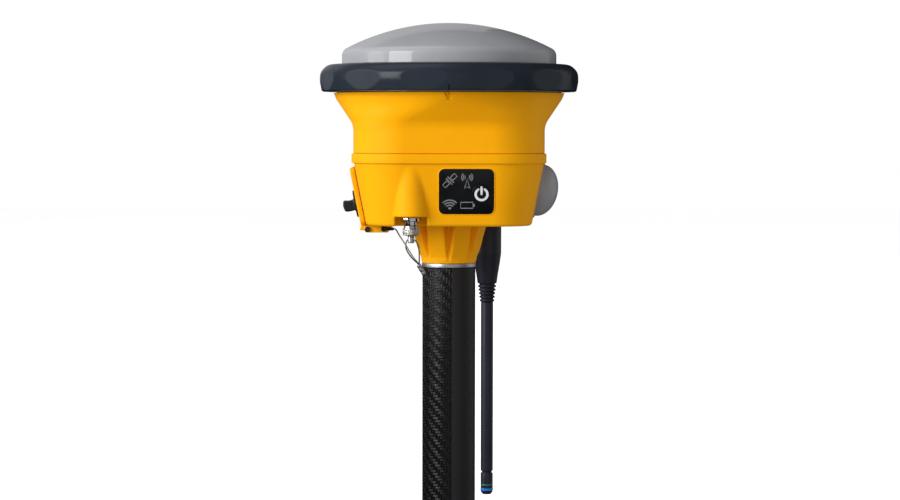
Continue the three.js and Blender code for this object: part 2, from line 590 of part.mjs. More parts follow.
// ---- aerial sockets, dust cap and lanyard ----
function jackShape() {
  const face = JACK.face;
  return turned([
    [0, face - 8.6], [3.1, face - 8.6], [3.1, face - 4.5], [3.5, face - 4.5], [3.5, face - 2.2],
    [5.2, face - 2.2], [5.2, face - 0.1],
    [3, face - 0.1], [3, face + 4], [1.6, face + 4], [1.6, face + 6.2], [0, face + 6.2],
  ], 16);
}

function socketPieces() {
  add("front_jack", jackShape().translate(JACK.x, JACK.y, 0), chrome);
  add("rear_jack", jackShape().translate(REAR_JACK.x, REAR_JACK.y, 0), chrome);

  const ring = [[3.35, 21.2], [3.35, 17.1], [2.05, 17.1], [2.05, 16.3], [3.9, 16.3]];
  ring.push([4.4, 16.8], [4.4, 19.4], [3.9, 20], [3.9, 21.2], ring[0]);
  add("dust_cap_ring", turned(ring, 16).translate(JACK.x, JACK.y, 0), steel);
  let core = solid(
    turned([[0, 12.3], [1.5, 12.3], [1.8, 12.6], [1.8, 16.6]]
      .concat([[1.8, 17.15], [3, 17.15], [3, 17.3], [0, 17.3]])),
  );
  core = core.subtract(solid(rod(0.85, -3, 3, 8).rotateY(Math.PI / 2).translate(0, 0, 14)));
  add("dust_cap_core", shape(core).translate(JACK.x, JACK.y, 0), steel);
}

const LANYARD_R = 0.38;
const FERRULE = { top: [-16, -40, 0.8], bottom: [-12.9, -39.2, -4.3] };

function lanyardPieces() {
  const { x, y, z } = ANCHOR;
  const pan = turned([[0, 0.6], [1.5, 0.6], [1.5, 1.1], [1.2, 1.8], [0, 1.9]]);
  const shank = rod(0.6, -3.5, 0.7, 12);
  const screw = shape(solid(pan).add(solid(shank)));
  add("lanyard_screw", screw.rotateX(Math.PI / 2).translate(x, y, z), blackPlastic);
  const tag = solid(rod(1.6, 0.05, 0.5, 12)).add(solid(box(0, 4, -0.8, 0.8, 0.05, 0.5)));
  const sleeve = rod(0.9, 2.6, 5.2, 10).rotateY(Math.PI / 2).translate(0, 0, 0.95);
  const drilled = tag.subtract(solid(rod(0.75, -1, 1, 12))).add(solid(sleeve));
  const lug = shape(drilled).rotateX(Math.PI / 2).translate(x, y, z);
  add("lanyard_lug", lug, blackPlastic);

  const [tx, ty, tz] = FERRULE.top;
  const down = new THREE.Vector3(...FERRULE.bottom).sub(new THREE.Vector3(...FERRULE.top));
  const body = new THREE.CylinderGeometry(1.25, 1.25, down.length(), 12);
  body.scale(1, 1, 0.8);
  const crimp = new THREE.Matrix4().makeRotationFromQuaternion(
    new THREE.Quaternion().setFromUnitVectors(new THREE.Vector3(0, 1, 0), down.clone().normalize()),
  );
  body.applyMatrix4(crimp).translate(tx + down.x / 2, ty + down.y / 2, tz + down.z / 2);
  add("lanyard_ferrule", body, aluminium);

  const start = [x + 5.5, y - 0.95, z];
  const route = [start, [-27.8, -26.6, 18.4], [-26.2, -29, 15.8], [-22.6, -33.8, 10.6]];
  route.push([-19.2, -37.4, 5.3], [tx - 0.3, ty + 0.5, tz + 0.9]);
  add("lanyard_cable", cord(route, LANYARD_R, 16), steel);

  const left = [[tx - 0.45, ty - 0.45, tz + 0.8], [-18.7, -41, 3.7], [-21, -41.8, 6.6]];
  left.push([-22.4, JACK.y, 9.6], [-22.5, JACK.y, 12], [-21.8, JACK.y, 13.75]);
  const right = [[JACK.x, JACK.y, 14], [-17.8, JACK.y, 13.75], [-16.5, JACK.y, 11.9]];
  right.push([-15.7, -42, 9.3], [-15.5, -41.2, 4.6], [tx + 0.5, ty - 0.4, tz + 0.8]);
  add("lanyard_loop", cord([...left, ...right], LANYARD_R, 28), steel);
}

// ---- whip aerial ----
function whipPieces() {
  const at = (geometry) => geometry.translate(REAR_JACK.x, REAR_JACK.y, 0);
  const { boot, shaft, bootEnd, reliefEnd, groove, tip } = WHIP;
  const top = 23.6;
  const profile = [[0, bootEnd], [5.4, bootEnd], [6, -8], [6.7, -3], [7.4, 1], [boot, 4]];
  profile.push([boot, 19], [7, 22], [5.6, top], [3.8, top], [3.8, 17], [0, 17]);
  add("antenna_boot", at(turned(profile, 16)), blackPlastic);
  const relief = [[0, reliefEnd]];
  const ribs = 5;
  const step = (bootEnd - reliefEnd - 0.4) / ribs;
  for (let i = 0; i < ribs; i++) {
    const z = reliefEnd + i * step;
    const r = 4 + i * 0.25;
    relief.push([r, z], [r, z + 0.6 * step], [r - 0.7, z + 0.8 * step]);
  }
  relief.push([4.4, bootEnd - 0.2], [0, bootEnd - 0.2]);
  add("antenna_relief", at(turned(relief, 12)), blackPlastic);
  add("antenna_whip", at(rod(shaft, groove + 0.4, reliefEnd - 0.2, 12)), blackPlastic);
  const end = [[0, tip], [shaft - 1.4, tip], [shaft, tip + 1.6], [shaft, groove - 0.4]];
  end.push([shaft - 0.7, groove - 0.4], [shaft - 0.7, groove + 0.3], [0, groove + 0.3]);
  let cap = solid(turned(end, 12));
  const band = (z) => tube(shaft - 0.35, shaft + 1, z, z + 1.3, 12);
  const bands = { antenna_band_green: [-126, green], antenna_band_blue: [-128.9, blue] };
  for (const [z] of Object.values(bands)) cap = cap.subtract(solid(band(z)));
  add("antenna_tip", at(shape(cap)), blackPlastic);
  for (const [name, [z, material]] of Object.entries(bands)) {
    add(name, at(tube(shaft - 0.05, shaft + 0.15, z + 0.05, z + 1.25, 12)), material);
  }
}

polePieces();
neckPieces();
lowerHousing();
upperHousing();
topPieces();
electronics();
sidePieces();
doorPieces();
caseScrews();
socketPieces();
lanyardPieces();
whipPieces();

export default root;
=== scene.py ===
import math
from itertools import product

import bmesh
import bpy
import numpy as np
from mathutils import Matrix, Vector


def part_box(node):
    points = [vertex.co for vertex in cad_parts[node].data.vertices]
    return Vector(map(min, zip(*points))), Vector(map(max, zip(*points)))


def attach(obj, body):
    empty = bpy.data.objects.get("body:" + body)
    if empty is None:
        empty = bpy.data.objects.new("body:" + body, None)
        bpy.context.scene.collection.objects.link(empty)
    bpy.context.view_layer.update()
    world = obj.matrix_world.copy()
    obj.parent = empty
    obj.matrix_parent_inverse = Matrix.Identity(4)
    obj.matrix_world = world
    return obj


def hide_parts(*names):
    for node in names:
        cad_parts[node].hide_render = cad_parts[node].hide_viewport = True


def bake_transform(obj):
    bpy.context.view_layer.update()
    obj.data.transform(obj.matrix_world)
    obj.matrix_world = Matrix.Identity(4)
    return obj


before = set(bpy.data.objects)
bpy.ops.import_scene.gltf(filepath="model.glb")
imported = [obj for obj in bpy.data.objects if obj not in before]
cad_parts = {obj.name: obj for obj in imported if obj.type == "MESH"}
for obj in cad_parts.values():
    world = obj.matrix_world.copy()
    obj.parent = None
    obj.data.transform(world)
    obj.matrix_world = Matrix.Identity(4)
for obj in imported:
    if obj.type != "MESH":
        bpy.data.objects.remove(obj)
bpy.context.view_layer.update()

# Lengths are in millimetres above the receiver's seat, until piece() turns them into metres in
# the row frame. The front (control panel) faces -Y and the battery door faces -X.
MM = 0.001
FLANGE = 2.3
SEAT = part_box("pole_tube")[1].z / MM + FLANGE
COARSE = 1.0

BODY_BOTTOM, BODY_HALF, TAPER = 20.9, 43.8, 0.2
FLAT, WALL = 23.5, 2.5
BAND_BOTTOM, BAND_TOP, BAND_HALF = 54.0, 59.0, 51.65
WAIST_BOTTOM, WAIST_TOP, WAIST_HALF = 59.5, 72.0, 50.7
FLARE_TOP, FLARE_R = 91.2, 62.0
RADOME_R, RADOME_TOP, RADOME_SPHERE, SHOULDER = 57.6, 128.8, 118.7, 4.5
BUMPER_R, BUMPER_BOTTOM, BUMPER_TOP = 69.5, 91.9, 106.8
FACET_R, FACET_STEP, FACET_START = 68.4, 30.0, -11.2  # from the axis, and degrees right of the front
JACKS = ((-19.8, -42.3, 8.2), (21.2, 42.3, 8.8))  # x, y and the half-width of the notch
JACK_FACE = 26.0
PANEL = (9.2, 39.4, 28.6, 23.9, 2.8)  # centre across, height, width, length and corner
BUTTON = (16.6, 38.7, 4.7)  # across, height and radius
DOOR_BOTTOM, DOOR_TOP, DOOR_HALF, DOOR_LIFT, DOOR_THICK = 21.3, 51.8, 22.5, 0.4, 2.65
OPENING = (27.0, 48.4, 20.0)  # bottom, top and half-width of the battery opening
HINGE = (-43.1, 18.9)  # x and z of the door's axis
LATCH_Z, COVER_Z = 32.5, 39.4
PORT = (-16.0, 38.0, 6.2)  # x, z and radius
ANCHOR = (-34.4, -25.0, 19.1)  # the lanyard's screw
AROUND = ((-1, -1), (1, -1), (1, 1), (-1, 1))
SCREWS = [(a * 32.0, b * 29.0) for a, b in AROUND]
POLE_R, FLANGE_R, STUD_R, STUD_PITCH = 14.29, 14.7, 7.94, 2.309
LEAN = math.atan(TAPER)
FRONT, RIGHT, REAR, LEFT = 0, 90, 180, 270
PRINT = 0.05  # thickness of the printed signs
PER_CORNER = 44  # points round a corner of the housing
FINE = 0.16  # step of the smallest nets


# ---- camera and view ----
def make_camera():
    eye_height, distance, pitch, roll, aside = 74.1, 1500.0, 2.57, 0.08, 0.6
    sensor, focal_length = 36.0, 111.4
    data = bpy.data.cameras.new("camera")
    data.sensor_width = sensor
    data.lens = focal_length
    camera = bpy.data.objects.new("camera", data)
    bpy.context.collection.objects.link(camera)
    turn = Matrix.Rotation(math.radians(90 - pitch), 4, "X") @ Matrix.Rotation(math.radians(roll), 4, "Z")
    camera.matrix_world = Matrix.Translation((aside * MM, -distance * MM, (SEAT + eye_height) * MM)) @ turn
    bpy.context.scene.camera = camera


# ---- materials ----
def srgb(r, g, b):
    """An 8-bit sRGB colour as linear light with an alpha of 1."""
    channel = [v / 255 for v in (r, g, b)]
    linear = [v / 12.92 if v <= 0.04045 else ((v + 0.055) / 1.055) ** 2.4 for v in channel]
    return (*linear, 1.0)


class Nodes:
    """A material's node tree, with short calls for the nodes used here."""

    def __init__(self, name):
        self.material = bpy.data.materials.new(name)
        self.material.use_nodes = True
        self.tree = self.material.node_tree
        self.shader = self.tree.nodes["Principled BSDF"]
        self.coords = self.add("ShaderNodeTexCoord").outputs["Object"]

    def add(self, kind, **settings):
        node = self.tree.nodes.new(kind)
        for key, value in settings.items():
            setattr(node, key, value)
        return node

    def link(self, source, target):
        self.tree.links.new(source, target)

    def feed(self, node, socket, value):
        if isinstance(value, bpy.types.NodeSocket):
            self.link(value, node.inputs[socket])
        elif value is not None:
            node.inputs[socket].default_value = value

    def noise(self, per_mm, detail, rough=0.55, vector=None):
        node = self.add("ShaderNodeTexNoise")
        self.link(vector or self.coords, node.inputs["Vector"])
        node.inputs["Scale"].default_value = per_mm / MM
        node.inputs["Detail"].default_value = detail
        node.inputs["Roughness"].default_value = rough
        return node.outputs["Fac"]

    def math(self, operation, a, b=None):
        node = self.add("ShaderNodeMath", operation=operation)
        self.feed(node, 0, a)
        self.feed(node, 1, b)
        return node.outputs[0]

    def plus(self, a, b):
        return self.math("ADD", a, b)

    def minus(self, a, b):
        return self.math("SUBTRACT", a, b)

    def times(self, a, b):
        return self.math("MULTIPLY", a, b)

    def ramp(self, value, low, high, to_low=0.0, to_high=1.0):
        node = self.add("ShaderNodeMapRange")
        self.feed(node, "Value", value)
        for key, number in (("From Min", low), ("From Max", high), ("To Min", to_low), ("To Max", to_high)):
            node.inputs[key].default_value = number
        return node.outputs["Result"]

    def mix(self, factor, a, b):
        node = self.add("ShaderNodeMix", data_type="RGBA")
        self.feed(node, "Factor", factor)
        self.feed(node, 6, a)
        self.feed(node, 7, b)
        return node.outputs[2]

    def bump(self, height, strength, depth_mm):
        node = self.add("ShaderNodeBump")
        node.inputs["Strength"].default_value = strength
        node.inputs["Distance"].default_value = depth_mm * MM
        self.feed(node, "Height", height)
        return node.outputs["Normal"]

    def set(self, **sockets):
        for key, value in sockets.items():
            self.feed(self.shader, key.replace("_", " "), value)
        return self.material


def moulded(name, colour, shade, rough, grain=1.6, relief=0.03, strength=0.35, **sockets):
    """Moulded plastic or rubber: fine grain, drift between two colours, and edges rubbed a little smooth."""
    n = Nodes(name)
    drift = n.ramp(n.noise(0.03, 4), 0.35, 0.68)
    fine = n.noise(grain, 2)
    edge = n.ramp(n.add("ShaderNodeNewGeometry").outputs["Pointiness"], 0.52, 0.62)
    worn = n.times(edge, n.ramp(n.noise(0.25, 5), 0.45, 0.7))
    roughness = n.minus(n.ramp(n.noise(0.08, 5), 0.3, 0.7, rough - 0.04, rough + 0.05), worn)
    roughness = n.math("MAXIMUM", roughness, rough * 0.7)
    return n.set(
        Base_Color=n.mix(drift, srgb(*colour), srgb(*shade)), Roughness=roughness,
        Normal=n.bump(fine, strength, relief), **sockets,
    )


def turned_metal(name, colour, rough, rings=6.0, strength=0.25):
    """Metal with fine tool marks round the vertical axis and smudges."""
    n = Nodes(name)
    colour = srgb(*colour)
    stretch = n.add("ShaderNodeMapping")
    n.link(n.coords, stretch.inputs["Vector"])
    stretch.inputs["Scale"].default_value = (0.05, 0.05, 1.0)
    marks = n.noise(rings, 3, 0.7, stretch.outputs["Vector"])
    smudge = n.noise(0.3, 4)
    dark = tuple(v * 0.82 for v in colour[:3]) + (1.0,)
    return n.set(
        Base_Color=n.mix(n.ramp(smudge, 0.35, 0.7), colour, dark), Metallic=1.0,
        Roughness=n.ramp(n.plus(marks, smudge), 0.7, 1.3, rough - 0.06, rough + 0.1),
        Normal=n.bump(marks, strength, 0.02),
    )


def carbon_weave(name):
    """A 2 by 2 twill of narrow tows round the pole. The tows that run round are painted lighter than those
    that run up, as a painted sheen. One side has a plain band, lighter and without weave.
    """
    n = Nodes(name)
    tow = 1.5
    split = n.add("ShaderNodeSeparateXYZ")
    n.link(n.coords, split.inputs[0])
    x, y, z = split.outputs
    angle = n.math("ARCTAN2", x, n.times(y, -1.0))  # 0 at the front, rising to the right
    tows_round = round(2 * math.pi * POLE_R / tow / 4) * 4
    u = n.times(angle, tows_round / (2 * math.pi))
    v = n.times(z, 1 / (tow * MM))
    step = n.plus(n.math("FLOOR", u), n.math("FLOOR", v))
    over = n.math("LESS_THAN", n.math("FLOORED_MODULO", step, 4.0), 1.99)
    across_u = n.math("FRACT", u)
    across_v = n.math("FRACT", v)

    def crown(t):
        centred = n.minus(t, 0.5)
        return n.minus(1.0, n.times(n.times(centred, centred), 4.0))

    def choose(a, b):
        return n.plus(n.times(over, a), n.times(n.minus(1.0, over), b))

    def fibres(t):
        return n.times(n.math("SINE", n.times(t, 40.0)), 0.06)

    height = choose(n.plus(crown(across_u), fibres(u)), n.plus(crown(across_v), fibres(v)))
    plain_start, plain_end = 0.12, math.radians(168)  # the plain band, lighter and without weave, right of the front
    plain = n.times(n.math("GREATER_THAN", angle, plain_start), n.math("LESS_THAN", angle, plain_end))
    relief = n.times(height, n.minus(1.0, plain))
    # painted sheen: tows that run round the pole are painted lighter than tows that run up it, in place of
    # the fibres' directional reflection
    tone_and_sheen = n.mix(over, srgb(19, 18, 20), srgb(9, 8, 10))
    tone_and_sheen = n.mix(n.ramp(height, 0.0, 0.3), srgb(44, 41, 44), tone_and_sheen)
    tone_and_sheen = n.mix(plain, tone_and_sheen, srgb(37, 35, 37))
    flecks = n.ramp(n.noise(0.9, 4), 0.42, 0.62, 0.14, 0.34)
    rough = n.plus(n.times(plain, 0.24), flecks)
    return n.set(
        Base_Color=tone_and_sheen, Roughness=rough, Normal=n.bump(relief, 0.9, 0.2), Specular_IOR_Level=0.22,
    )


def circuit(name):
    """Green solder mask with a grid of tracks and pads."""
    n = Nodes(name)
    cells = n.add("ShaderNodeTexVoronoi", distance="MANHATTAN")
    n.link(n.coords, cells.inputs["Vector"])
    cells.inputs["Scale"].default_value = 0.45 / MM
    pads = n.math("LESS_THAN", cells.outputs["Distance"], 0.16)
    tracks = n.ramp(n.noise(0.5, 1), 0.47, 0.5)
    green = n.mix(tracks, srgb(22, 88, 52), srgb(34, 108, 66))
    return n.set(
        Base_Color=n.mix(pads, green, srgb(196, 170, 96)), Roughness=n.ramp(pads, 0, 1, 0.42, 0.28),
        Normal=n.bump(tracks, 0.3, 0.03),
    )


def make_looks():
    """The materials by name. Plastics: two colours, roughness, grain per mm, relief in mm, its strength."""
    plastics = {
        "yellow_housing": ((249, 174, 2), (244, 166, 1), 0.5, 1.5, 0.03, 0.3),
        "radome_grey": ((157, 159, 163), (153, 155, 159), 0.4, 2.2, 0.006, 0.1),
        "bumper": ((40, 47, 56), (35, 41, 50), 0.3, 1.2, 0.02, 0.2),
        "side_cover_grey": ((150, 151, 156), (144, 145, 150), 0.36, 1.8, 0.02),
        "panel_black": ((17, 18, 20), (14, 15, 17), 0.38, 3.0, 0.01, 0.2),
        "seal": ((20, 20, 21), (28, 28, 29), 0.7, 1.0, 0.05),
        "black_plastic": ((27, 27, 31), (21, 21, 25), 0.4, 1.4, 0.03),
        "aerial_rubber": ((40, 42, 55), (33, 35, 48), 0.42, 1.2, 0.03),
        "battery_case": ((40, 42, 46), (34, 36, 40), 0.55, 1.2, 0.05),
        "ceramic": ((226, 216, 196), (214, 203, 182), 0.65, 1.0, 0.05),
        "band_green": ((36, 140, 104), (30, 128, 94), 0.4),
        "band_blue": ((24, 132, 240), (20, 118, 224), 0.36),
        "print_grey": ((134, 135, 138), (126, 127, 130), 0.5, 3.0, 0.01),
        "print_white": ((232, 232, 234), (222, 222, 225), 0.5, 3.0, 0.01),
    }
    gloss = {
        "yellow_housing": 0.08, "radome_grey": 0.15, "bumper": 0.15, "panel_black": 0.22,
        "black_plastic": 0.35, "aerial_rubber": 0.3,
    }
    metals = {
        "steel": ((214, 211, 205), 0.3),
        "dark_steel": ((92, 84, 74), 0.36),
        "wire": ((140, 138, 134), 0.42),
        "chrome_jack": ((222, 222, 226), 0.12, 3.0, 0.08),
        "brass": ((205, 168, 92), 0.3),
        "aluminium": ((205, 208, 212), 0.42, 8.0),
        "tin": ((186, 189, 191), 0.34, 2.0),
    }
    looks = {}
    for name, recipe in plastics.items():
        sockets = {"Specular_IOR_Level": gloss[name]} if name in gloss else {}
        if name == "radome_grey":
            sockets.update(Coat_Weight=0.4, Coat_Roughness=0.04)
        looks[name] = moulded(name, *recipe, **sockets)
    for name, recipe in metals.items():
        looks[name] = turned_metal(name, *recipe)
    looks["carbon"] = carbon_weave("carbon")
    looks["circuit_board"] = circuit("circuit_board")
    return looks


# ---- mesh helpers ----
def piece(name, mesh, look, body, stands_for=(), slot=None, seat=None, sharp=35, normals=None):
    """A Blender object from (points, faces) in millimetres, riding on a body."""
    points, faces = mesh
    data = bpy.data.meshes.new(name)
    points = (np.asarray(points, float) + (0, 0, SEAT if seat is None else seat)) * MM
    data.from_pydata(points.tolist(), [], [list(map(int, f)) for f in faces])
    data.materials.append(LOOKS[look])
    data.shade_smooth()
    if normals is None:
        data.set_sharp_from_angle(angle=math.radians(sharp))
    else:
        data.normals_split_custom_set_from_vertices(np.asarray(normals, float).tolist())
    made = bpy.data.objects.new(name, data)
    bpy.context.collection.objects.link(made)
    if body:
        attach(made, body)
    if stands_for:
        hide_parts(*stands_for)
    return made


def soften(points, closed=False, steps=5):
    """A polyline whose third numbers are fillet radii, with each filleted corner as an arc."""
    out = []
    count = len(points)
    for i, point in enumerate(points):
        here = np.array(point[:2], float)
        radius = point[2] if len(point) > 2 else 0
        if not radius or (not closed and i in (0, count - 1)):
            out.append(tuple(here))
            continue
        before = np.array(points[i - 1][:2], float) - here
        after = np.array(points[(i + 1) % count][:2], float) - here
        long_before, long_after = np.linalg.norm(before), np.linalg.norm(after)
        before /= long_before
        after /= long_after
        corner = math.acos(np.clip(before @ after, -1, 1))
        reach = min(radius / math.tan(corner / 2), 0.49 * long_before, 0.49 * long_after)
        start, end = here + before * reach, here + after * reach
        centre = here + (before + after) / np.linalg.norm(before + after) * math.hypot(
            reach, reach * math.tan(corner / 2))
        a0 = math.atan2(*(start - centre)[::-1])
        sweep = (math.atan2(*(end - centre)[::-1]) - a0 + math.pi) % (2 * math.pi) - math.pi
        size = np.linalg.norm(start - centre)
        for k in range(steps + 1):
            a = a0 + sweep * k / steps
            out.append((centre[0] + size * math.cos(a), centre[1] + size * math.sin(a)))
    return out


def round_angles(segments):
    return np.arange(segments) * 2 * math.pi / segments


def ring_quads(rings, segments, closed):
    """Quads between rings of points, the last ring joined to the first when closed."""
    faces = []
    for i in range(rings if closed else rings - 1):
        a, b = i * segments, (i + 1) % rings * segments
        for k in range(segments):
            m = (k + 1) % segments
            faces.append((a + k, a + m, b + m, b + k))
    return faces


def end_faces(rings, segments):
    return [tuple(range(segments))[::-1], tuple((rings - 1) * segments + k for k in range(segments))]


def stacked(rings, angles, closed):
    """A surface through rings of (radii, height), with the last joined to the first or both ends capped."""
    points = []
    for radii, z in rings:
        points += np.stack([radii * np.cos(angles), radii * np.sin(angles), z + 0 * angles], 1).tolist()
    faces = ring_quads(len(rings), len(angles), closed)
    if not closed:
        faces += end_faces(len(rings), len(angles))
    return np.array(points), faces


def lathe(profile, segments=96, steps=5, angles=None):
    """A profile of (radius, height, fillet) turned about Z, open on the axis or closed on itself."""
    on_axis = profile[0][0] < 1e-6 and profile[-1][0] < 1e-6
    outline = np.array(soften(profile, not on_axis, steps))
    r, z = outline.T
    if (r * np.roll(z, -1) - np.roll(r, -1) * z).sum() < 0:
        r, z = r[::-1], z[::-1]
    if angles is None:
        angles = round_angles(segments)
    segments = len(angles)
    inner = slice(1, -1) if on_axis else slice(None)
    ring_r, ring_z = r[inner], z[inner]
    points = np.stack([
        np.outer(ring_r, np.cos(angles)), np.outer(ring_r, np.sin(angles)),
        np.outer(ring_z, np.ones(segments)),
    ], -1).reshape(-1, 3).tolist()
    rings = len(ring_r)
    faces = ring_quads(rings, segments, not on_axis)
    if on_axis:
        points += [[0, 0, z[0]], [0, 0, z[-1]]]
        low, high = len(points) - 2, len(points) - 1
        last = (rings - 1) * segments
        for k in range(segments):
            m = (k + 1) % segments
            faces.append((low, m, k))
            faces.append((high, last + k, last + m))
    return np.array(points), faces


def shifted(mesh, x, y, z=0.0):
    return np.asarray(mesh[0]) + (x, y, z), mesh[1]


def facing_front(mesh, x, y, z):
    """The mesh laid down, so that its +Z points at the viewer, with its origin at (x, y, z)."""
    return np.asarray(mesh[0])[:, [0, 2, 1]] * (1, -1, 1) + (x, y, z), mesh[1]


def half_at(z):
    """Half the distance between opposite sides of the lower housing, at a height."""
    return BODY_HALF + TAPER * (z - BODY_BOTTOM)


def side_frame(turn, across, z, outward=0.0):
    """The matrix that carries XY drawings, +Z outward, onto a leaning side of the housing."""
    return (
        Matrix.Rotation(math.radians(turn), 4, "Z") @ Matrix.Translation((across, -half_at(z), z))
        @ Matrix.Rotation(math.pi / 2 + LEAN, 4, "X") @ Matrix.Translation((0, 0, outward))
    )


def on_side(mesh, turn, across, z, outward=0.0):
    frame_matrix = np.array(side_frame(turn, across, z, outward))
    points = np.asarray(mesh[0], float) @ frame_matrix[:3, :3].T + frame_matrix[:3, 3]
    return points, mesh[1]


def side_local(x, y, z, turn, across, height):
    """Points in the same leaning frame, as (across, up, outward)."""
    inverse = np.array(side_frame(turn, across, height).inverted())
    return [inverse[i, 0] * x + inverse[i, 1] * y + inverse[i, 2] * z + inverse[i, 3] for i in range(3)]


# ---- shapes from distance fields ----
def union(a, b, r=0.0):
    """Joins two fields with a fillet of radius r."""
    if not r:
        return np.minimum(a, b)
    return np.maximum(r, np.minimum(a, b)) - np.hypot(np.maximum(r - a, 0), np.maximum(r - b, 0))


def common(a, b, r=0.0):
    """What two fields share, with the edge rounded to radius r."""
    return -union(-a, -b, r)


def cut(a, b, r=0.0):
    return -union(-a, b, r)


def square(x, y, half, flat):
    """A square of the given half-width whose sides are straight over +-flat, with arcs between."""
    u, v = np.abs(x) - flat, np.abs(y) - flat
    inside = np.minimum(np.maximum(u, v), 0)
    return np.hypot(np.maximum(u, 0), np.maximum(v, 0)) + inside - (half - flat)


def block(u, v, half_u, half_v, corner):
    """A rectangle about the origin, with corners of the given radius."""
    a, b = np.abs(u) - half_u + corner, np.abs(v) - half_v + corner
    return np.hypot(np.maximum(a, 0), np.maximum(b, 0)) + np.minimum(np.maximum(a, b), 0) - corner


def between(v, low, high):
    return np.abs(v - (low + high) / 2) - (high - low) / 2


def surface_net(field, low, high, step):
    """The field's zero surface as quads, each point moved onto it, with the field's own normals."""
    step = step * COARSE
    near, wide, passes = 0.05, 0.12, 3  # reach of the slopes for moving points and for normals
    axes = [np.arange(a - 1.5 * step, b + 2.5 * step, step) for a, b in zip(low, high)]
    value = field(*np.meshgrid(*axes, indexing="ij"))
    inside = value < 0
    size = [len(a) for a in axes]
    corners = list(product((0, 1), repeat=3))
    views = [value[i:size[0] - 1 + i, j:size[1] - 1 + j, k:size[2] - 1 + k] for i, j, k in corners]
    filled = sum((v < 0).astype(np.int8) for v in views)
    cells = np.nonzero((filled > 0) & (filled < 8))
    index = np.full([s - 1 for s in size], -1)
    index[cells] = np.arange(len(cells[0]))
    samples = np.array([v[cells] for v in views])
    total = np.zeros((len(cells[0]), 3))
    hits = np.zeros(len(cells[0]))
    for a, b in product(range(8), repeat=2):
        if a < b and sum(p != q for p, q in zip(corners[a], corners[b])) == 1:
            crosses = (samples[a] < 0) != (samples[b] < 0)
            t = samples[a] / np.where(crosses, samples[a] - samples[b], 1)
            start, end = np.array(corners[a]), np.array(corners[b])
            total[crosses] += start + t[crosses, None] * (end - start)
            hits[crosses] += 1
    origin = np.array([a[0] for a in axes])
    points = origin + step * (np.stack(cells, 1) + total / hits[:, None])

    def slope(p, reach):
        parts = []
        for i in range(3):
            offset = np.eye(3)[i] * reach
            parts.append((field(*(p + offset).T) - field(*(p - offset).T)) / (2 * reach))
        return np.stack(parts, 1)

    for _ in range(passes):
        gradient = slope(points, near)
        squared = np.maximum((gradient ** 2).sum(1), 0.3)
        move = -(field(*points.T) / squared)[:, None] * gradient
        points += np.clip(move, -step / 2, step / 2)
    normals = slope(points, wide)
    normals /= np.maximum(np.linalg.norm(normals, axis=1), 1e-9)[:, None]

    faces = []
    for axis in range(3):
        u, v = (axis + 1) % 3, (axis + 2) % 3
        lower = [slice(None)] * 3
        upper = [slice(None)] * 3
        lower[axis], upper[axis] = slice(None, -1), slice(1, None)
        first = inside[tuple(lower)]
        where = np.stack(np.nonzero(first != inside[tuple(upper)]), 1)
        du, dv = np.eye(3, dtype=int)[u], np.eye(3, dtype=int)[v]
        quad = np.stack([index[tuple((where - d).T)] for d in (0 * du, du, du + dv, dv)], 1)
        back = ~first[tuple(where.T)]
        quad[back] = quad[back][:, ::-1]
        faces.append(quad)
    return (points, np.concatenate(faces)), normals


def net_piece(name, field, low, high, step, look, body, stands_for, **more):
    mesh, normals = surface_net(field, low, high, step)
    return piece(name, mesh, look, body, stands_for, normals=normals, **more)


# ---- housing ----
def blister_field(x, y, z, jack, inset=0.0):
    """The half-round bulge over an aerial socket."""
    at_x, at_y, _ = jack
    radius = 9.25 - 0.0625 * (z - JACK_FACE) - inset
    return common(np.hypot(x - at_x, y - at_y) - radius, between(z, JACK_FACE - 0.5, 54.2), 0.6)


def notch_field(x, y, z, jack, grow=0.0):
    """The notch under a blister, open to the outside and below."""
    at_x, at_y, reach = jack
    side = math.copysign(1, at_y)
    inner, outer = 8.6 + grow, 20.0
    middle = at_y + side * (outer - inner) / 2
    plan = block(x - at_x, y - middle, reach + grow, (outer + inner) / 2, 3.0)
    return np.maximum(plan, z - JACK_FACE - grow)


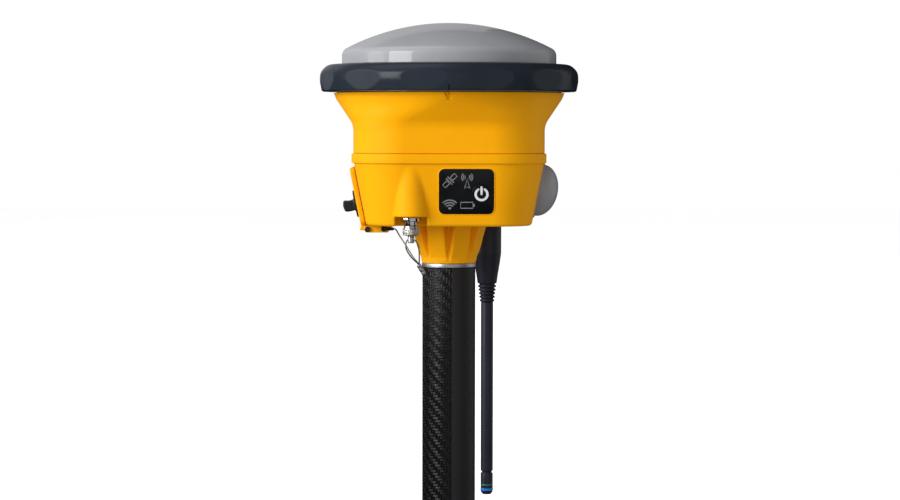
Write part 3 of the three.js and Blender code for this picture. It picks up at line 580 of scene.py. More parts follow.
def lower_housing_field(x, y, z):
    lean = math.cos(LEAN)
    fillet, boss, shank, head, jack_bore = 0.8, 4.2, 1.9, 3.0, 3.3
    sides = square(x, y, half_at(z), FLAT) * lean
    outer = common(common(sides, BODY_BOTTOM - z, 1.6), z - 55)
    band = common(square(x, y, BAND_HALF - 0.4, FLAT), between(z, BAND_BOTTOM + 0.5, BAND_TOP - 0.2), 0.4)
    outer = np.minimum(outer, band)
    hollow = np.maximum(square(x, y, half_at(z) - WALL, FLAT) * lean, BODY_BOTTOM + WALL - z)
    for jack in JACKS:
        outer = union(outer, blister_field(x, y, z, jack), fillet)
        hollow = union(hollow, blister_field(x, y, z, jack, WALL), fillet)
    for jack in JACKS:
        hollow = np.maximum(hollow, -notch_field(x, y, z, jack, WALL))
    for at_x, at_y in SCREWS:
        hollow = cut(hollow, np.hypot(x - at_x, y - at_y) - boss, fillet)
    shell = np.maximum(outer, -hollow)
    for jack in JACKS:
        shell = cut(shell, notch_field(x, y, z, jack), 0.9)
        bore = np.hypot(x - jack[0], y - jack[1]) - jack_bore
        shell = np.maximum(shell, -np.maximum(bore, between(z, JACK_FACE - 1, JACK_FACE + 5)))
    neck_hole = np.maximum(np.hypot(x, y) - 17, z - (BODY_BOTTOM + WALL + 1))
    shell = np.maximum(shell, -neck_hole)
    for at_x, at_y in SCREWS:
        away = np.hypot(x - at_x, y - at_y)
        shell = np.maximum(shell, -(away - shank))
        shell = cut(shell, np.maximum(away - head, z - BODY_BOTTOM - 1.9), 0.3)
    bottom, top, half = OPENING
    window = block(y, z - (bottom + top) / 2, half, (top - bottom) / 2, 2.0)
    shell = cut(shell, np.maximum(window, x + 38), 0.5)
    holes = [(RIGHT, 0, COVER_Z, 11), (REAR, -PORT[0], PORT[1], PORT[2] + 0.2),
             (FRONT, *BUTTON[:2], BUTTON[2] + 0.15)]
    for turn, across, height, radius in holes:
        u, v, w = side_local(x, y, z, turn, across, height)
        shell = np.maximum(shell, -np.maximum(np.hypot(u, v) - radius, between(w, -8, 8)))
    return shell


def make_lower_housing():
    low, high = (-BAND_HALF, -54, BODY_BOTTOM), (BAND_HALF, 54, BAND_TOP)
    net_piece("lower_housing_shell", lower_housing_field, low, high, 0.8,
              "yellow_housing", "receiver", ["lower_housing"])
    inside = BAND_HALF - 2.6
    ring = soften([(inside, BAND_TOP), (BAND_HALF, BAND_TOP, 0.5),
                   (BAND_HALF, BAND_BOTTOM, 0.25), (inside, BAND_BOTTOM)], True)
    mesh = squared(lathe(ring, angles=side_angles(PER_CORNER)), straight_flat)
    piece("housing_band", mesh, "yellow_housing", "receiver", sharp=32)


def straight_flat(z):
    return FLAT + 0 * z


def flare_flat(z):
    """The straight length of a side, which shrinks to nothing where the flare turns round."""
    t = np.clip((z - WAIST_TOP) / (FLARE_TOP - 1 - WAIST_TOP), 0, 1)
    return FLAT * (1 - t * t * (3 - 2 * t))


def squared(mesh, flat_of):
    """Gives a turned mesh four straight sides, of half-length flat_of(z)."""
    points, faces = mesh
    points = np.array(points, float)
    x, y, z = points.T
    r = np.maximum(np.hypot(x, y), 1e-9)
    flat = np.minimum(flat_of(z), r / 2)
    shrink = (r - flat) / r
    points[:, 0] = x * shrink + flat * np.sign(np.where(np.abs(x) < 1e-6, 0, x))
    points[:, 1] = y * shrink + flat * np.sign(np.where(np.abs(y) < 1e-6, 0, y))
    return points, faces


def densified(profile, longest):
    """The profile with points added until no part of it is over the longest length."""
    out = [profile[0]]
    for a, b in zip(profile, profile[1:]):
        count = max(1, math.ceil(math.dist(a[:2], b[:2]) / longest))
        for k in range(1, count):
            out.append((a[0] + (b[0] - a[0]) * k / count, a[1] + (b[1] - a[1]) * k / count))
        out.append(b)
    return out


def side_angles(per_corner):
    """Angles for a turned mesh that squared() spreads, close together where the flats begin."""
    angles = []
    for quarter in range(4):
        start = quarter * math.pi / 2
        angles += [start + 1e-4 + (math.pi / 2 - 2e-4) * k / per_corner for k in range(per_corner + 1)]
    return angles


def front_recess(points):
    """Presses a V into the front of the flare, with a short slot at its top."""
    low, high, half, depth, edge = 86.3, 90.7, 2.6, 0.9, 0.35
    x, y, z = points.T
    inside = (half * np.clip((z - low) / (high - low), 0, 1) - np.abs(x)) * 0.86
    pressed = depth * np.clip(inside / edge, 0, 1)
    slot = 0.8 * np.clip((0.55 - np.abs(x)) / 0.2, 0, 1) * np.clip((z - 89.4) / 0.3, 0, 1)
    outside = (y < 0) & (np.hypot(x, y) > FLARE_R - 0.9 * (FLARE_TOP - z) - 1.2)
    points[:, 1] += np.where(outside, pressed + slot, 0)
    return points


def make_upper_housing():
    skirt, bend, deck = WAIST_BOTTOM - 0.35, 74.2, FLARE_TOP - WALL
    inner_half, lead_hole = WAIST_HALF - WALL, 8
    outer = [(WAIST_HALF - 0.3, skirt), (WAIST_HALF, skirt + 0.3), (WAIST_HALF, bend, 10),
             (60.7, 87.9, 8), (FLARE_R, FLARE_TOP, 0.4)]
    top = [(58.0, FLARE_TOP), (lead_hole, FLARE_TOP, 0.3), (lead_hole, deck)]
    inner = [(58.2, deck, 2), (inner_half, bend, 8), (inner_half, WAIST_BOTTOM + 0.3)]
    waist = densified(soften(outer, False, 10), 0.7)
    profile = waist + densified(soften([waist[-1], *top, *inner, waist[0]], False, 10), 2.0)[1:-1]
    front = np.linspace(-3.2, 3.2, 65) / FLARE_R + math.pi * 1.5
    mesh = squared(lathe(profile, angles=sorted([*side_angles(PER_CORNER), *front])), flare_flat)
    piece("upper_housing_shell", (front_recess(mesh[0]), mesh[1]), "yellow_housing", "receiver",
          ["upper_housing"], sharp=32)
    low, high = WAIST_HALF - 3, WAIST_HALF - 0.6
    ring = [(low, BAND_TOP), (high, BAND_TOP), (high, skirt), (low, skirt)]
    mesh = squared(lathe(ring, angles=side_angles(24)), straight_flat)
    piece("housing_gasket_ring", mesh, "seal", "receiver", ["housing_gasket"])


def radome_curve(inset):
    """Half the radome's section from its top to its foot, set in by a distance."""
    sphere = RADOME_SPHERE - inset
    centre = RADOME_TOP - RADOME_SPHERE
    rim = RADOME_R - SHOULDER
    corner = math.asin(rim / (RADOME_SPHERE - SHOULDER))
    points = [(sphere * math.sin(a), centre + sphere * math.cos(a)) for a in np.linspace(0, corner, 25)]
    cz = centre + (RADOME_SPHERE - SHOULDER) * math.cos(corner)
    for a in np.linspace(corner, math.pi / 2, 11)[1:]:
        points.append((rim + (SHOULDER - inset) * math.sin(a), cz + (SHOULDER - inset) * math.cos(a)))
    return points


def faceted(points):
    """Planes every FACET_STEP degrees, cut into the bumper's outer face."""
    x, y, z = points.T
    r = np.hypot(x, y)
    around = np.degrees(np.arctan2(x, -y)) - FACET_START
    off_middle = np.radians(np.mod(around + FACET_STEP / 2, FACET_STEP) - FACET_STEP / 2)
    shrink = np.minimum(1, FACET_R / np.cos(off_middle) / r)
    return np.stack([x * shrink, y * shrink, z], 1)


def make_top():
    flange_low, flange_high = 91.7, 94.2
    flange = [(RADOME_R, flange_high), (FLARE_R, flange_high),
              (FLARE_R, flange_low), (RADOME_R - WALL, flange_low)]
    profile = radome_curve(0) + flange + radome_curve(WALL)[::-1]
    piece("radome_shell", lathe(profile, 192), "radome_grey", "receiver", ["radome"])
    seal = lathe([(55.5, FLARE_TOP), (60.5, FLARE_TOP), (60.5, flange_low), (55.5, flange_low)])
    piece("radome_seal", seal, "seal", "receiver", ["radome_gasket"])
    inner = RADOME_R + 0.2
    outline = [
        (FLARE_R + 0.3, BUMPER_BOTTOM), (BUMPER_R - 1.1, BUMPER_BOTTOM, 1.2), (BUMPER_R, 97.6, 12),
        (BUMPER_R - 0.2, 102.4, 6), (BUMPER_R - 4.2, 106.3, 6), (inner + 0.6, BUMPER_TOP, 0.4),
        (inner, BUMPER_TOP - 0.7), (inner, flange_high + 0.2), (FLARE_R + 0.3, flange_high + 0.2),
    ]
    slit_half, slit_top, slit_depth = 0.3, 94.3, 0.8  # the half-width in degrees
    by_slit = np.array([-0.6, -slit_half - 0.05, -slit_half, 0, slit_half, slit_half + 0.05, 0.6]) - 90
    angles = np.radians([*by_slit, *np.linspace(-89, 269, 540)])
    points, faces = lathe(densified(soften(outline, True, 8), 0.7), angles=angles)
    points = faceted(points)
    x, y, z = points.T
    r = np.hypot(x, y)
    off_front = np.abs(np.degrees(np.arctan2(x, -y)))
    in_slit = (off_front < slit_half + 0.01) & (z < slit_top) & (r > FLARE_R + 2)
    pressed = np.where(in_slit, (r - slit_depth) / r, 1)
    piece("bumper_band", (points * np.stack([pressed, pressed, 1 + 0 * z], 1), faces), "bumper", "receiver",
          ["bumper_ring"])


def make_neck():
    collar, bore, rib_half, spigot, plate = 14.5, 11.8, 5.0, 16.7, 24
    rib_z = [0, 3, 4.9, 8.2, 14, 19.2, 21]
    rib_r = [14.3, 14.35, 15.3, 16.6, 18.2, 19.75, 20.4]

    def field(x, y, z):
        r = np.hypot(x, y)
        core = common(r - np.interp(z, [0, 3, 20.9], [collar, collar, 15]), between(z, 0.05, 20.8), 0.35)
        fold = np.mod(np.arctan2(y, x), math.pi / 4) - math.pi / 8
        out, across = r * np.cos(fold), r * np.sin(fold)
        rib = common(out - np.interp(z, rib_z, rib_r), np.abs(across) - rib_half, 0.9)
        rib = common(rib, between(z, 1.5, 20.8), 0.1)
        body = union(core, rib, 0.7)
        body = union(body, np.maximum(r - spigot, between(z, 20, 23.7)))
        body = union(body, common(r - plate, between(z, 23.6, 25.4), 0.3))
        return cut(body, np.maximum(r - bore, between(z, -2, 28)), 0.4)

    net_piece("neck_casting", field, (-plate, -plate, 0), (plate, plate, 25.4), 0.55,
              "yellow_housing", "receiver", ["pole_neck"])
    sleeve = threaded_hole(STUD_R + 0.3, 11.5, 0.2, 25.2)
    piece("insert_thread", sleeve, "brass", "receiver", ["threaded_insert"])


# ---- threads ----
def thread_wave(turns):
    """A flat-topped wave from 0 at the root to 1 at the crest, once a turn."""
    return np.clip(1.25 - np.abs(np.mod(turns, 1) - 0.5) * 3.2, 0, 1)


def threaded_hole(radius, outer, low, high):
    """A sleeve with a helical thread inside. The thread fades out at both mouths."""
    segments, rows, mouth, depth = 48, int((high - low) / STUD_PITCH * 9), 0.8, 0.9
    angles = round_angles(segments)
    inner = []
    for z in np.linspace(low + mouth, high - mouth, rows):
        fade = np.clip(min(z - low, high - z) / STUD_PITCH - 0.3, 0, 1)
        wave = thread_wave(z / STUD_PITCH - angles / (2 * math.pi))
        inner.append((radius + 0.1 + depth * fade * wave, z))
    rim = np.full(segments, radius + 1.1)
    wall = np.full(segments, outer)
    return stacked([(wall, low), (wall, high), (rim, high), *inner[::-1], (rim, low)], angles, True)


def thread_rings(root, height, start, end, rows, angles):
    """Rings of an outer or inner thread from start to end, fading out at both."""
    fade_over = 1.6
    rings = []
    for z in np.linspace(start, end, rows):
        fade = np.clip(min(abs(z - start), abs(end - z)) / fade_over, 0, 1)
        wave = thread_wave(z / STUD_PITCH - angles / (2 * math.pi))
        rings.append((root + height * fade * wave, z))
    return rings


def make_pole():
    ferrule, tube_inside, plug = 6, 12.6, 12.3
    low, high = ferrule - SEAT, -FLANGE
    tube = [(tube_inside, low), (POLE_R, low, 0.25), (POLE_R, high, 0.25), (tube_inside, high)]
    piece("pole_carbon_tube", lathe(tube, 160), "carbon", "pole", ["pole_tube"])

    angles = round_angles(64)
    flat = np.ones(64)
    root = 6.7
    flange = soften([(plug, high), (FLANGE_R, high, 0.35), (FLANGE_R, 0, 0.35), (9, 0)])[1:]
    rings = [(r * flat, z) for r, z in [(plug, -30), (plug, high), *flange, (root, 0.02), (root, 1.6)]]
    rings += thread_rings(root, STUD_R - root, 1.8, 20.2, 96, angles)
    rings += [(root * flat, 20.3), (5.9 * flat, 21)]
    piece("pole_stud", stacked(rings, angles, False), "aluminium", "pole", ["pole_top_ferrule"])

    depth, bore = 20.0, 8.24
    outer = soften([(9.2, 0), (FLANGE_R, 0, 0.5), (FLANGE_R, ferrule, 0.3), (plug, ferrule), (plug, 32)])
    rings = [(bore * flat, depth), *thread_rings(bore, 0.9, depth - 0.8, 0.9, 90, angles)]
    rings += [(r * flat, z) for r, z in outer]
    piece("pole_socket", stacked(rings, angles, False), "aluminium", "pole",
          ["pole_bottom_ferrule"], seat=0)


# ---- panel, cover and port ----
def arc(u, v, radius, start, end, count):
    return [(u + radius * math.cos(a), v + radius * math.sin(a))
            for a in np.radians(np.linspace(start, end, count))]


def rounded_loop(width, height, corner, per_corner=6):
    loop = []
    for i, (sx, sy) in enumerate(((1, 1), (-1, 1), (-1, -1), (1, -1))):
        cx, cy = sx * (width / 2 - corner), sy * (height / 2 - corner)
        loop += arc(cx, cy, corner, 90 * i, 90 * (i + 1), per_corner + 1)
    return loop


def rounded_plate(width, height, corner, low, high, edge, hole):
    """A plate in XY with round corners, softened edges and a round hole, from low to high."""
    per_corner, per_side = 12, 24
    loops = []
    for inset, z in ((0, low), (0, high - edge), (edge * 0.3, high - edge * 0.3), (edge, high)):
        loop = rounded_loop(width - 2 * inset, height - 2 * inset, corner - inset, per_corner)
        loops.append([(*p, z) for p in filled(loop, per_corner + 1, per_side)])
    hole_u, hole_v, radius = hole
    for z in (high, low):
        rim = []
        for u, v, _ in loops[0]:
            reach = math.hypot(u - hole_u, v - hole_v)
            rim.append((hole_u + (u - hole_u) * radius / reach, hole_v + (v - hole_v) * radius / reach, z))
        loops.append(rim)
    return [p for loop in loops for p in loop], ring_quads(len(loops), len(loops[0]), True)


def filled(loop, every, parts):
    """The loop with its straight side after each `every` points cut into parts."""
    out = []
    for k, a in enumerate(loop):
        b = loop[(k + 1) % len(loop)]
        steps = parts if k % every == every - 1 else 1
        out += [(a[0] + (b[0] - a[0]) * t / steps, a[1] + (b[1] - a[1]) * t / steps) for t in range(steps)]
    return out


def frame_of(width, height, corner, section):
    """A frame round a rectangle with round corners, from a section of (outward, up) points."""
    per_corner = 8
    points = []
    for out, up in section:
        loop = rounded_loop(width + 2 * out, height + 2 * out, corner + out, per_corner)
        points += [(u, v, up) for u, v in loop]
    quads = ring_quads(len(section), 4 * (per_corner + 1), True)
    return points, [(a, d, c, b) for a, b, c, d in quads]


def ribbon(path, width, closed=False, low=0.0, high=PRINT):
    """A flat line of the given width along 2D points."""
    path = np.array(path, float)
    if closed:
        ahead, behind = np.roll(path, -1, 0), np.roll(path, 1, 0)
    else:
        ahead, behind = np.vstack([path[1:], path[-1]]), np.vstack([path[0], path[:-1]])
    along = ahead - behind
    along /= np.linalg.norm(along, axis=1)[:, None]
    side = np.stack([-along[:, 1], along[:, 0]], 1) * width / 2
    left, right = path + side, path - side
    count = len(path)
    points = []
    for flat in (left, right):
        for z in (low, high):
            points += [(x, y, z) for x, y in flat]
    ll, lh, rl, rh = (k * count for k in range(4))
    faces = []
    for k in range(count if closed else count - 1):
        m = (k + 1) % count
        faces += [(lh + k, rh + k, rh + m, lh + m), (ll + k, ll + m, rl + m, rl + k),
                  (ll + k, lh + k, lh + m, ll + m), (rl + k, rl + m, rh + m, rh + k)]
    if not closed:
        last = count - 1
        faces += [(ll, rl, rh, lh), (ll + last, lh + last, rh + last, rl + last)]
    return points, faces


def merged(meshes):
    """Several meshes as one."""
    points, faces = [], []
    for more_points, more_faces in meshes:
        base = len(points)
        points += [tuple(p) for p in more_points]
        faces += [tuple(base + i for i in f) for f in more_faces]
    return np.array(points, float), faces


def polygon(corners):
    count = len(corners)
    points = [(x, y, z) for z in (0, PRINT) for x, y in corners]
    return points, end_faces(2, count) + ring_quads(2, count, False)


def disc(u, v, radius):
    return polygon(arc(u, v, radius, 0, 360, 25)[:-1])


def turned_by(points, degrees, u, v):
    c, s = math.cos(math.radians(degrees)), math.sin(math.radians(degrees))
    return [(u + x * c - y * s, v + x * s + y * c) for x, y in points]


def satellite_icon(u, v):
    """A small satellite: two framed wings with a double bar between them."""
    tilt, line = 45, 0.5
    parts = []
    for side in (-1, 1):
        wing = [(side * 1.3, -1.05), (side * 4.35, -1.05), (side * 4.35, 1.05), (side * 1.3, 1.05)]
        parts.append(ribbon(turned_by(wing, tilt, u, v), line, True))
        parts.append(ribbon(turned_by([(side * 0.62, -2.3), (side * 0.62, 2.3)], tilt, u, v), line))
    return parts


def mast_icon(u, v):
    """A radio mast with waves on both sides."""
    line, foot, height = 0.42, 1.4, 5.2
    legs = [(u - foot, v), (u, v + height), (u + foot, v), (u, v + 1.0)]
    parts = [ribbon(legs, line, True)]
    for radius in (1.2, 2.05, 2.9):
        for middle in (0, 180):
            parts.append(ribbon(arc(u, v + height + 0.9, radius, middle - 43, middle + 43, 14), line))
    return parts


def wireless_icon(u, v):
    """Three arcs over a wedge."""
    parts = [polygon([(u, v), *arc(u, v, 1.35, 45, 135, 12)])]
    for radius in (2.45, 3.8, 5.15):
        parts.append(ribbon(arc(u, v, radius, 45, 135, 24), 0.6))
    return parts


def battery_icon(u, v):
    case = [(u - 3.2, v - 1.6), (u + 3.2, v - 1.6), (u + 3.2, v + 1.6), (u - 3.2, v + 1.6)]
    nub = [(u + 3.4, v - 0.8), (u + 4.2, v - 0.8), (u + 4.2, v + 0.8), (u + 3.4, v + 0.8)]
    return [ribbon(case, 0.5, True), polygon(nub)]


def power_icon(u, v):
    """An open ring with a bar in its gap, both with round ends."""
    ring, stroke, gap, low, high = 3.07, 1.25, 34, v + 0.2, v + 3.65
    ends = [(u + ring * math.sin(a), v + ring * math.cos(a)) for a in map(math.radians, (-gap, gap))]
    return [
        ribbon(arc(u, v, ring, 90 + gap, 450 - gap, 48), stroke), *(disc(*end, stroke / 2) for end in ends),
        ribbon([(u, low), (u, high)], stroke), disc(u, low, stroke / 2), disc(u, high, stroke / 2),
    ]


def make_panel():
    across, height, width, length, corner = PANEL
    width, length, corner = width + 0.5, length + 0.6, corner + 0.4
    proud, edge = 0.1, 0.05
    u, v, radius = BUTTON
    hole = (u - across, (v - height) / math.cos(LEAN), radius + 0.05)
    plate = rounded_plate(width, length, corner, -0.1, proud, edge, hole)
    piece("panel_membrane", on_side(plate, FRONT, across, height), "panel_black", "receiver",
          ["control_panel"])
    section = [(-0.15, 0.05), (-0.05, 0.26), (0.15, 0.28), (0.45, 0.0), (0.4, -0.1)]
    rim = frame_of(width, length, corner, section)
    piece("panel_rim", on_side(rim, FRONT, across, height), "yellow_housing", "receiver", sharp=25)
    signs = merged([*satellite_icon(-8.7, 5.9), *mast_icon(0.3, 1.6), *wireless_icon(-8.8, -9.7),
                    *battery_icon(0.1, -7.3)])
    piece("panel_icons", on_side(signs, FRONT, across, height, proud - 0.01), "print_grey", "receiver",
          slot="panel_black", sharp=20)
    flange, seat, face = radius - 0.1, -0.6, 0.6
    key = [(0, -3), (2, -3), (2, -1.3), (radius - 0.9, -1.3), (radius - 0.9, seat), (flange, seat),
           (flange, 0.55, 0.3), (0, face)]
    piece("power_key", on_side(lathe(key, 64), FRONT, u, v), "panel_black", "button", ["power_button"])
    symbol = merged(power_icon(0.4, -0.6))
    piece("power_symbol", on_side(symbol, FRONT, u, v, face - 0.03), "print_white", "button",
          slot="panel_black", sharp=20)


def make_side_cover():
    flange, dome, height, wall, lip = 15.2, 14.0, 11.2, 2, 1.3
    inner_r, inner_h = dome - 1.8, height - 2.4
    curve = [(dome * math.sin(a), lip + (height - lip) * math.cos(a)) for a in np.linspace(0, 1.5, 22)]
    inside = [(inner_r * math.sin(a), 0.4 + inner_h * math.cos(a)) for a in np.linspace(1.5, 0, 16)]
    profile = [*curve, (dome + 0.1, lip + 0.05), (flange, lip, 0.4), (flange, 0.35), *inside]
    profile[0], profile[-1] = (0, height), (0, height - wall)
    cover = on_side(lathe(profile, 96), RIGHT, 0, COVER_Z)
    piece("side_dome", cover, "side_cover_grey", "receiver", ["side_cover"])
    seal = lathe([(12, 0), (flange + 0.25, 0), (flange + 0.25, 0.5, 0.2), (12, 0.5)], 64)
    piece("side_dome_seal", on_side(seal, RIGHT, 0, COVER_Z, -0.1), "seal", "receiver", ["side_cover_seal"])


def make_port():
    x, height, radius = PORT
    back, floor, pin_top, pin_r, lip = -5.5, -4.7, -2.2, 2.2, 0.3
    socket = [(0, back), (radius, back), (radius, -0.1), (radius + 0.9, -0.1), (radius + 0.9, lip, 0.15),
              (radius - 1.2, lip, 0.2), (radius - 1.2, floor), (pin_r, floor), (pin_r, pin_top, 0.3),
              (0, pin_top)]
    piece("port_socket", on_side(lathe(socket, 64), REAR, -x, height), "steel", "receiver", ["data_port"])
    hinge_up, hinge_out, inner, outer = 9.5, 1.5, 0.5, 2.1

    def flap(x, y, z):
        u, v, w = side_local(x, y, z, REAR, -PORT[0], height)
        from_hinge = np.hypot(v - hinge_up, w - hinge_out)
        plate = common(block(u, v, 8.5, 8.25, 4), between(w, inner, outer), 0.6)
        plug = common(np.hypot(u, v) - 4.7, between(w, -0.6, 1), 0.2)
        knuckle = common(from_hinge - 1.2, np.abs(u) - 5, 0.2)
        web = common(block(v - 8.2, w - hinge_out, 1.4, 0.5, 0.1), np.abs(u) - 5)
        tab = common(block(u, v + 8.4, 2.5, 1.2, 1.0), between(w, 1.1, outer), 0.4)
        whole = union(union(union(plate, plug), union(knuckle, web, 0.3)), tab, 0.3)
        groove = common(block(u, v, 7.0, 6.75, 3.2), -block(u, v, 6.2, 5.95, 2.6))
        whole = cut(whole, common(groove, between(w, 1.85, 4)), 0.2)
        return cut(whole, from_hinge - 0.75, 0.1)

    net_piece("port_cover", flap, (-26, 45, 27), (-6, 55, 50), 0.35, "seal", "flap", ["port_flap"])


# ---- battery door, latch and hinge ----
def make_door():
    middle = (DOOR_BOTTOM + DOOR_TOP) / 2
    span = (DOOR_TOP - DOOR_BOTTOM) / math.cos(LEAN)
    face = DOOR_LIFT + DOOR_THICK
    dish_r, dish_depth, shaft_hole = 8.2, 0.5, 3.2
    ear_at, ear_half, ear_r, pin_hole = 15, 3.2, 1.6, 1.05

    def field(x, y, z):
        u, v, w = side_local(x, y, z, LEFT, 0, middle)
        plate = common(block(u, v, DOOR_HALF, span / 2, 3), w - face, 1.0)
        plate = common(plate, DOOR_LIFT - w, 0.3)
        lip = np.maximum(block(u, v - 1.2, OPENING[2] - 0.6, 9.8, 2), between(w, DOOR_LIFT - 1.5, 1))
        door = union(plate, lip)
        from_latch = np.hypot(u, v - (LATCH_Z - middle) / math.cos(LEAN))
        door = cut(door, np.maximum(from_latch - dish_r, face - dish_depth - w), 0.4)
        from_hinge = np.hypot(x - HINGE[0], z - HINGE[1])
        sides = np.abs(np.abs(y) - ear_at) - ear_half
        ears = common(from_hinge - ear_r, sides, 0.2)
        arm = common(block(x + 45.4 - 0.3 * (z - 21), z - 20.6, 1.3, 2.6, 0.6), sides, 0.3)
        arm = np.maximum(arm, np.minimum(x + half_at(z) + DOOR_LIFT, z - 20.4))
        door = union(door, union(ears, arm, 0.6), 0.5)
        door = np.maximum(door, pin_hole - from_hinge)
        return np.maximum(door, shaft_hole - from_latch)

    low, high = (-56, -DOOR_HALF, 17), (-41, DOOR_HALF, 52.5)
    net_piece("door_shell", field, low, high, 0.5, "yellow_housing", "door", ["battery_door"])
    seal = merged([ribbon(rounded_loop(43.2, 22.8, 2.6), 1.4, True, 0.02, 0.36)])
    seal = on_side(seal, LEFT, 0, (OPENING[0] + OPENING[1]) / 2)
    piece("door_gasket", seal, "seal", "receiver", ["door_seal"])


def make_latch():
    base = DOOR_LIFT + DOOR_THICK + 0.2
    plate_r, plate_top, wing_top, wing_half, wing_up = 7.3, 1.4, 7.6, 6.8, 3.1
    stem_end, foot_top = -5.7, -5.1

    def field(x, y, z):
        u, v, w = side_local(x, y, z, LEFT, 0, LATCH_Z)
        out = np.hypot(u, v)
        plate = common(out - plate_r, between(w, base - 0.6, base + plate_top), 0.4)
        t = np.clip((w - base - 0.6) / 6.6, 0, 1)
        top = wing_up - 0.8 * np.sin(math.pi * t)
        bottom = -wing_up - 0.3 * np.sin(math.pi * t)
        tilt = w - (base + wing_top) + 0.12 * np.abs(v) ** 1.5
        wing = common(common(np.abs(u) - wing_half, np.maximum(v - top, bottom - v), 0.9), tilt, 0.8)
        wing = np.maximum(wing, base - w)
        knob = union(plate, wing, 0.7)
        shaft = np.maximum(out - 2.8, between(w, -2.6, base))
        stem = np.maximum(out - 1.2, between(w, stem_end, 0))
        foot = common(out - 2.2, between(w, stem_end, foot_top), 0.15)
        return union(union(knob, shaft), union(stem, foot))

    net_piece("latch_wing", field, (-60, -8, 24), (-39, 8, 41), 0.32,
              "black_plastic", "latch", ["latch_knob"])

    def cam(x, y, z):
        u, v, w = side_local(x, y, z, LEFT, 0, LATCH_Z)
        arm = common(block(u - 6.8, v, 10.2, 3, 2.5), between(w, -4.9, -3.5), 0.25)
        return np.maximum(arm, -(np.hypot(u, v) - 1.35))

    net_piece("latch_cam_plate", cam, (-48, -18, 28), (-40, 5, 37), 0.35, "steel", "latch", ["latch_cam"])


def make_hinge():
    low, high = 17.0, BODY_BOTTOM - 0.1
    hx, hz = HINGE
    lug_r = hz - low
    screw_x, screw_y = -35, 15

    def field(x, y, z):
        from_pin = np.hypot(x - hx, z - hz)
        tall = between(z, low, high)
        bar = np.maximum(between(x, -38, -32.6), tall)
        slab = np.maximum(np.maximum(between(x, hx, -31), tall), (x + 31) + (low + 1.6 - z))
        teeth = np.minimum(np.abs(np.abs(y) - 21.8) - 3.2, np.abs(y) - 11.4)
        lugs = common(union(from_pin - lug_r, slab), teeth, 0.35)
        bracket = union(common(bar, np.abs(y) - 25, 0.35), lugs)
        bracket = common(bracket, tall, 0.3)
        bracket = cut(bracket, from_pin - 1.0, 0.15)
        for side in (-screw_y, screw_y):
            away = np.hypot(x - screw_x, y - side)
            bracket = cut(bracket, np.maximum(away - 2.7, z - low - 1.3), 0.2)
        anchor = np.maximum(np.hypot(x - ANCHOR[0], z - ANCHOR[2]) - 0.8, y + 21)
        return np.maximum(bracket, -anchor)

    net_piece("hinge_block", field, (-46, -25, 16.8), (-30, 25, 21), 0.4,
              "yellow_housing", "receiver", ["hinge_bracket"])
    pin_r, head_r, head_low, head_top = 0.9, 1.6, 25.4, 26.2
    pin = lathe([(0, -26), (pin_r, -26, 0.3), (pin_r, head_low), (head_r, head_low, 0.2),
                 (head_r, head_top, 0.3), (0.8, head_top), (0.6, 25.9), (0, 25.9)], 40)
    piece("hinge_axle", facing_front(pin, hx, 0, hz), "dark_steel", "receiver", ["hinge_pin"], slot="steel")
    for name, side in (("bracket_screw_front", -screw_y), ("bracket_screw_rear", screw_y)):
        screw = socket_screw(2.4, 1.1, 1.3, 2.5, 1.2)
        piece(name + "_head", shifted(screw, screw_x, side, low + 0.1), "steel", "receiver", [name])


def socket_screw(head_r, head_h, shank_r, length, key):
    """A cap screw, head down, with a hexagonal recess under it."""
    segments, tip = 24, 0.3
    angles = round_angles(segments)
    flat = np.ones(segments)
    sector = np.mod(angles, math.pi / 3) - math.pi / 6
    hexagon = key / np.cos(sector)
    rings = [(0.2 * hexagon, 0.62 * head_h), (0.9 * hexagon, 0.6 * head_h), (hexagon, 0.55 * head_h),
             (hexagon, 0.08), (hexagon + 0.08, 0)]
    head = [(key + 0.3, 0), (head_r, 0, 0.25), (head_r, head_h, 0.12), (shank_r, head_h)]
    rings += [(r * flat, z) for r, z in soften(head, steps=4)[1:]]
    rings += [(shank_r * flat, length - tip), ((shank_r - tip) * flat, length)]
    return stacked(rings, angles, False)


def make_case_screws():
    top, lift = 66, 0.3
    for i, (x, y) in enumerate(SCREWS):
        screw = socket_screw(2.6, 1.5, 1.5, top - BODY_BOTTOM - lift, 1.35)
        piece(f"case_screw_{i + 1}_body", shifted(screw, x, y, BODY_BOTTOM + lift), "steel", "receiver",
              [f"case_screw_{i + 1}"])


# ---- aerial sockets and dust cap ----
def jack_profile():
    face, pin_r, bore = JACK_FACE, 1.6, 3
    thread_r, root_r, pitch = 3.1, 2.85, 0.7
    points = [(0, face - 8.6), (3.0, face - 8.6, 0.2)]
    z = face - 8.4
    while z < face - 4.9:
        points += [(root_r, z), (thread_r, z + 0.25), (thread_r, z + 0.4), (root_r, z + 0.65)]
        z += pitch
    points += [(3.5, face - 4.5, 0.15), (3.5, face - 2.35), (5.2, face - 2.35, 0.3), (5.2, face - 0.1, 0.5),
               (bore, face - 0.1), (bore, face + 4, 0.3), (pin_r, face + 4), (pin_r, face + 6.2, 0.2),
               (0, face + 6.2)]
    return points


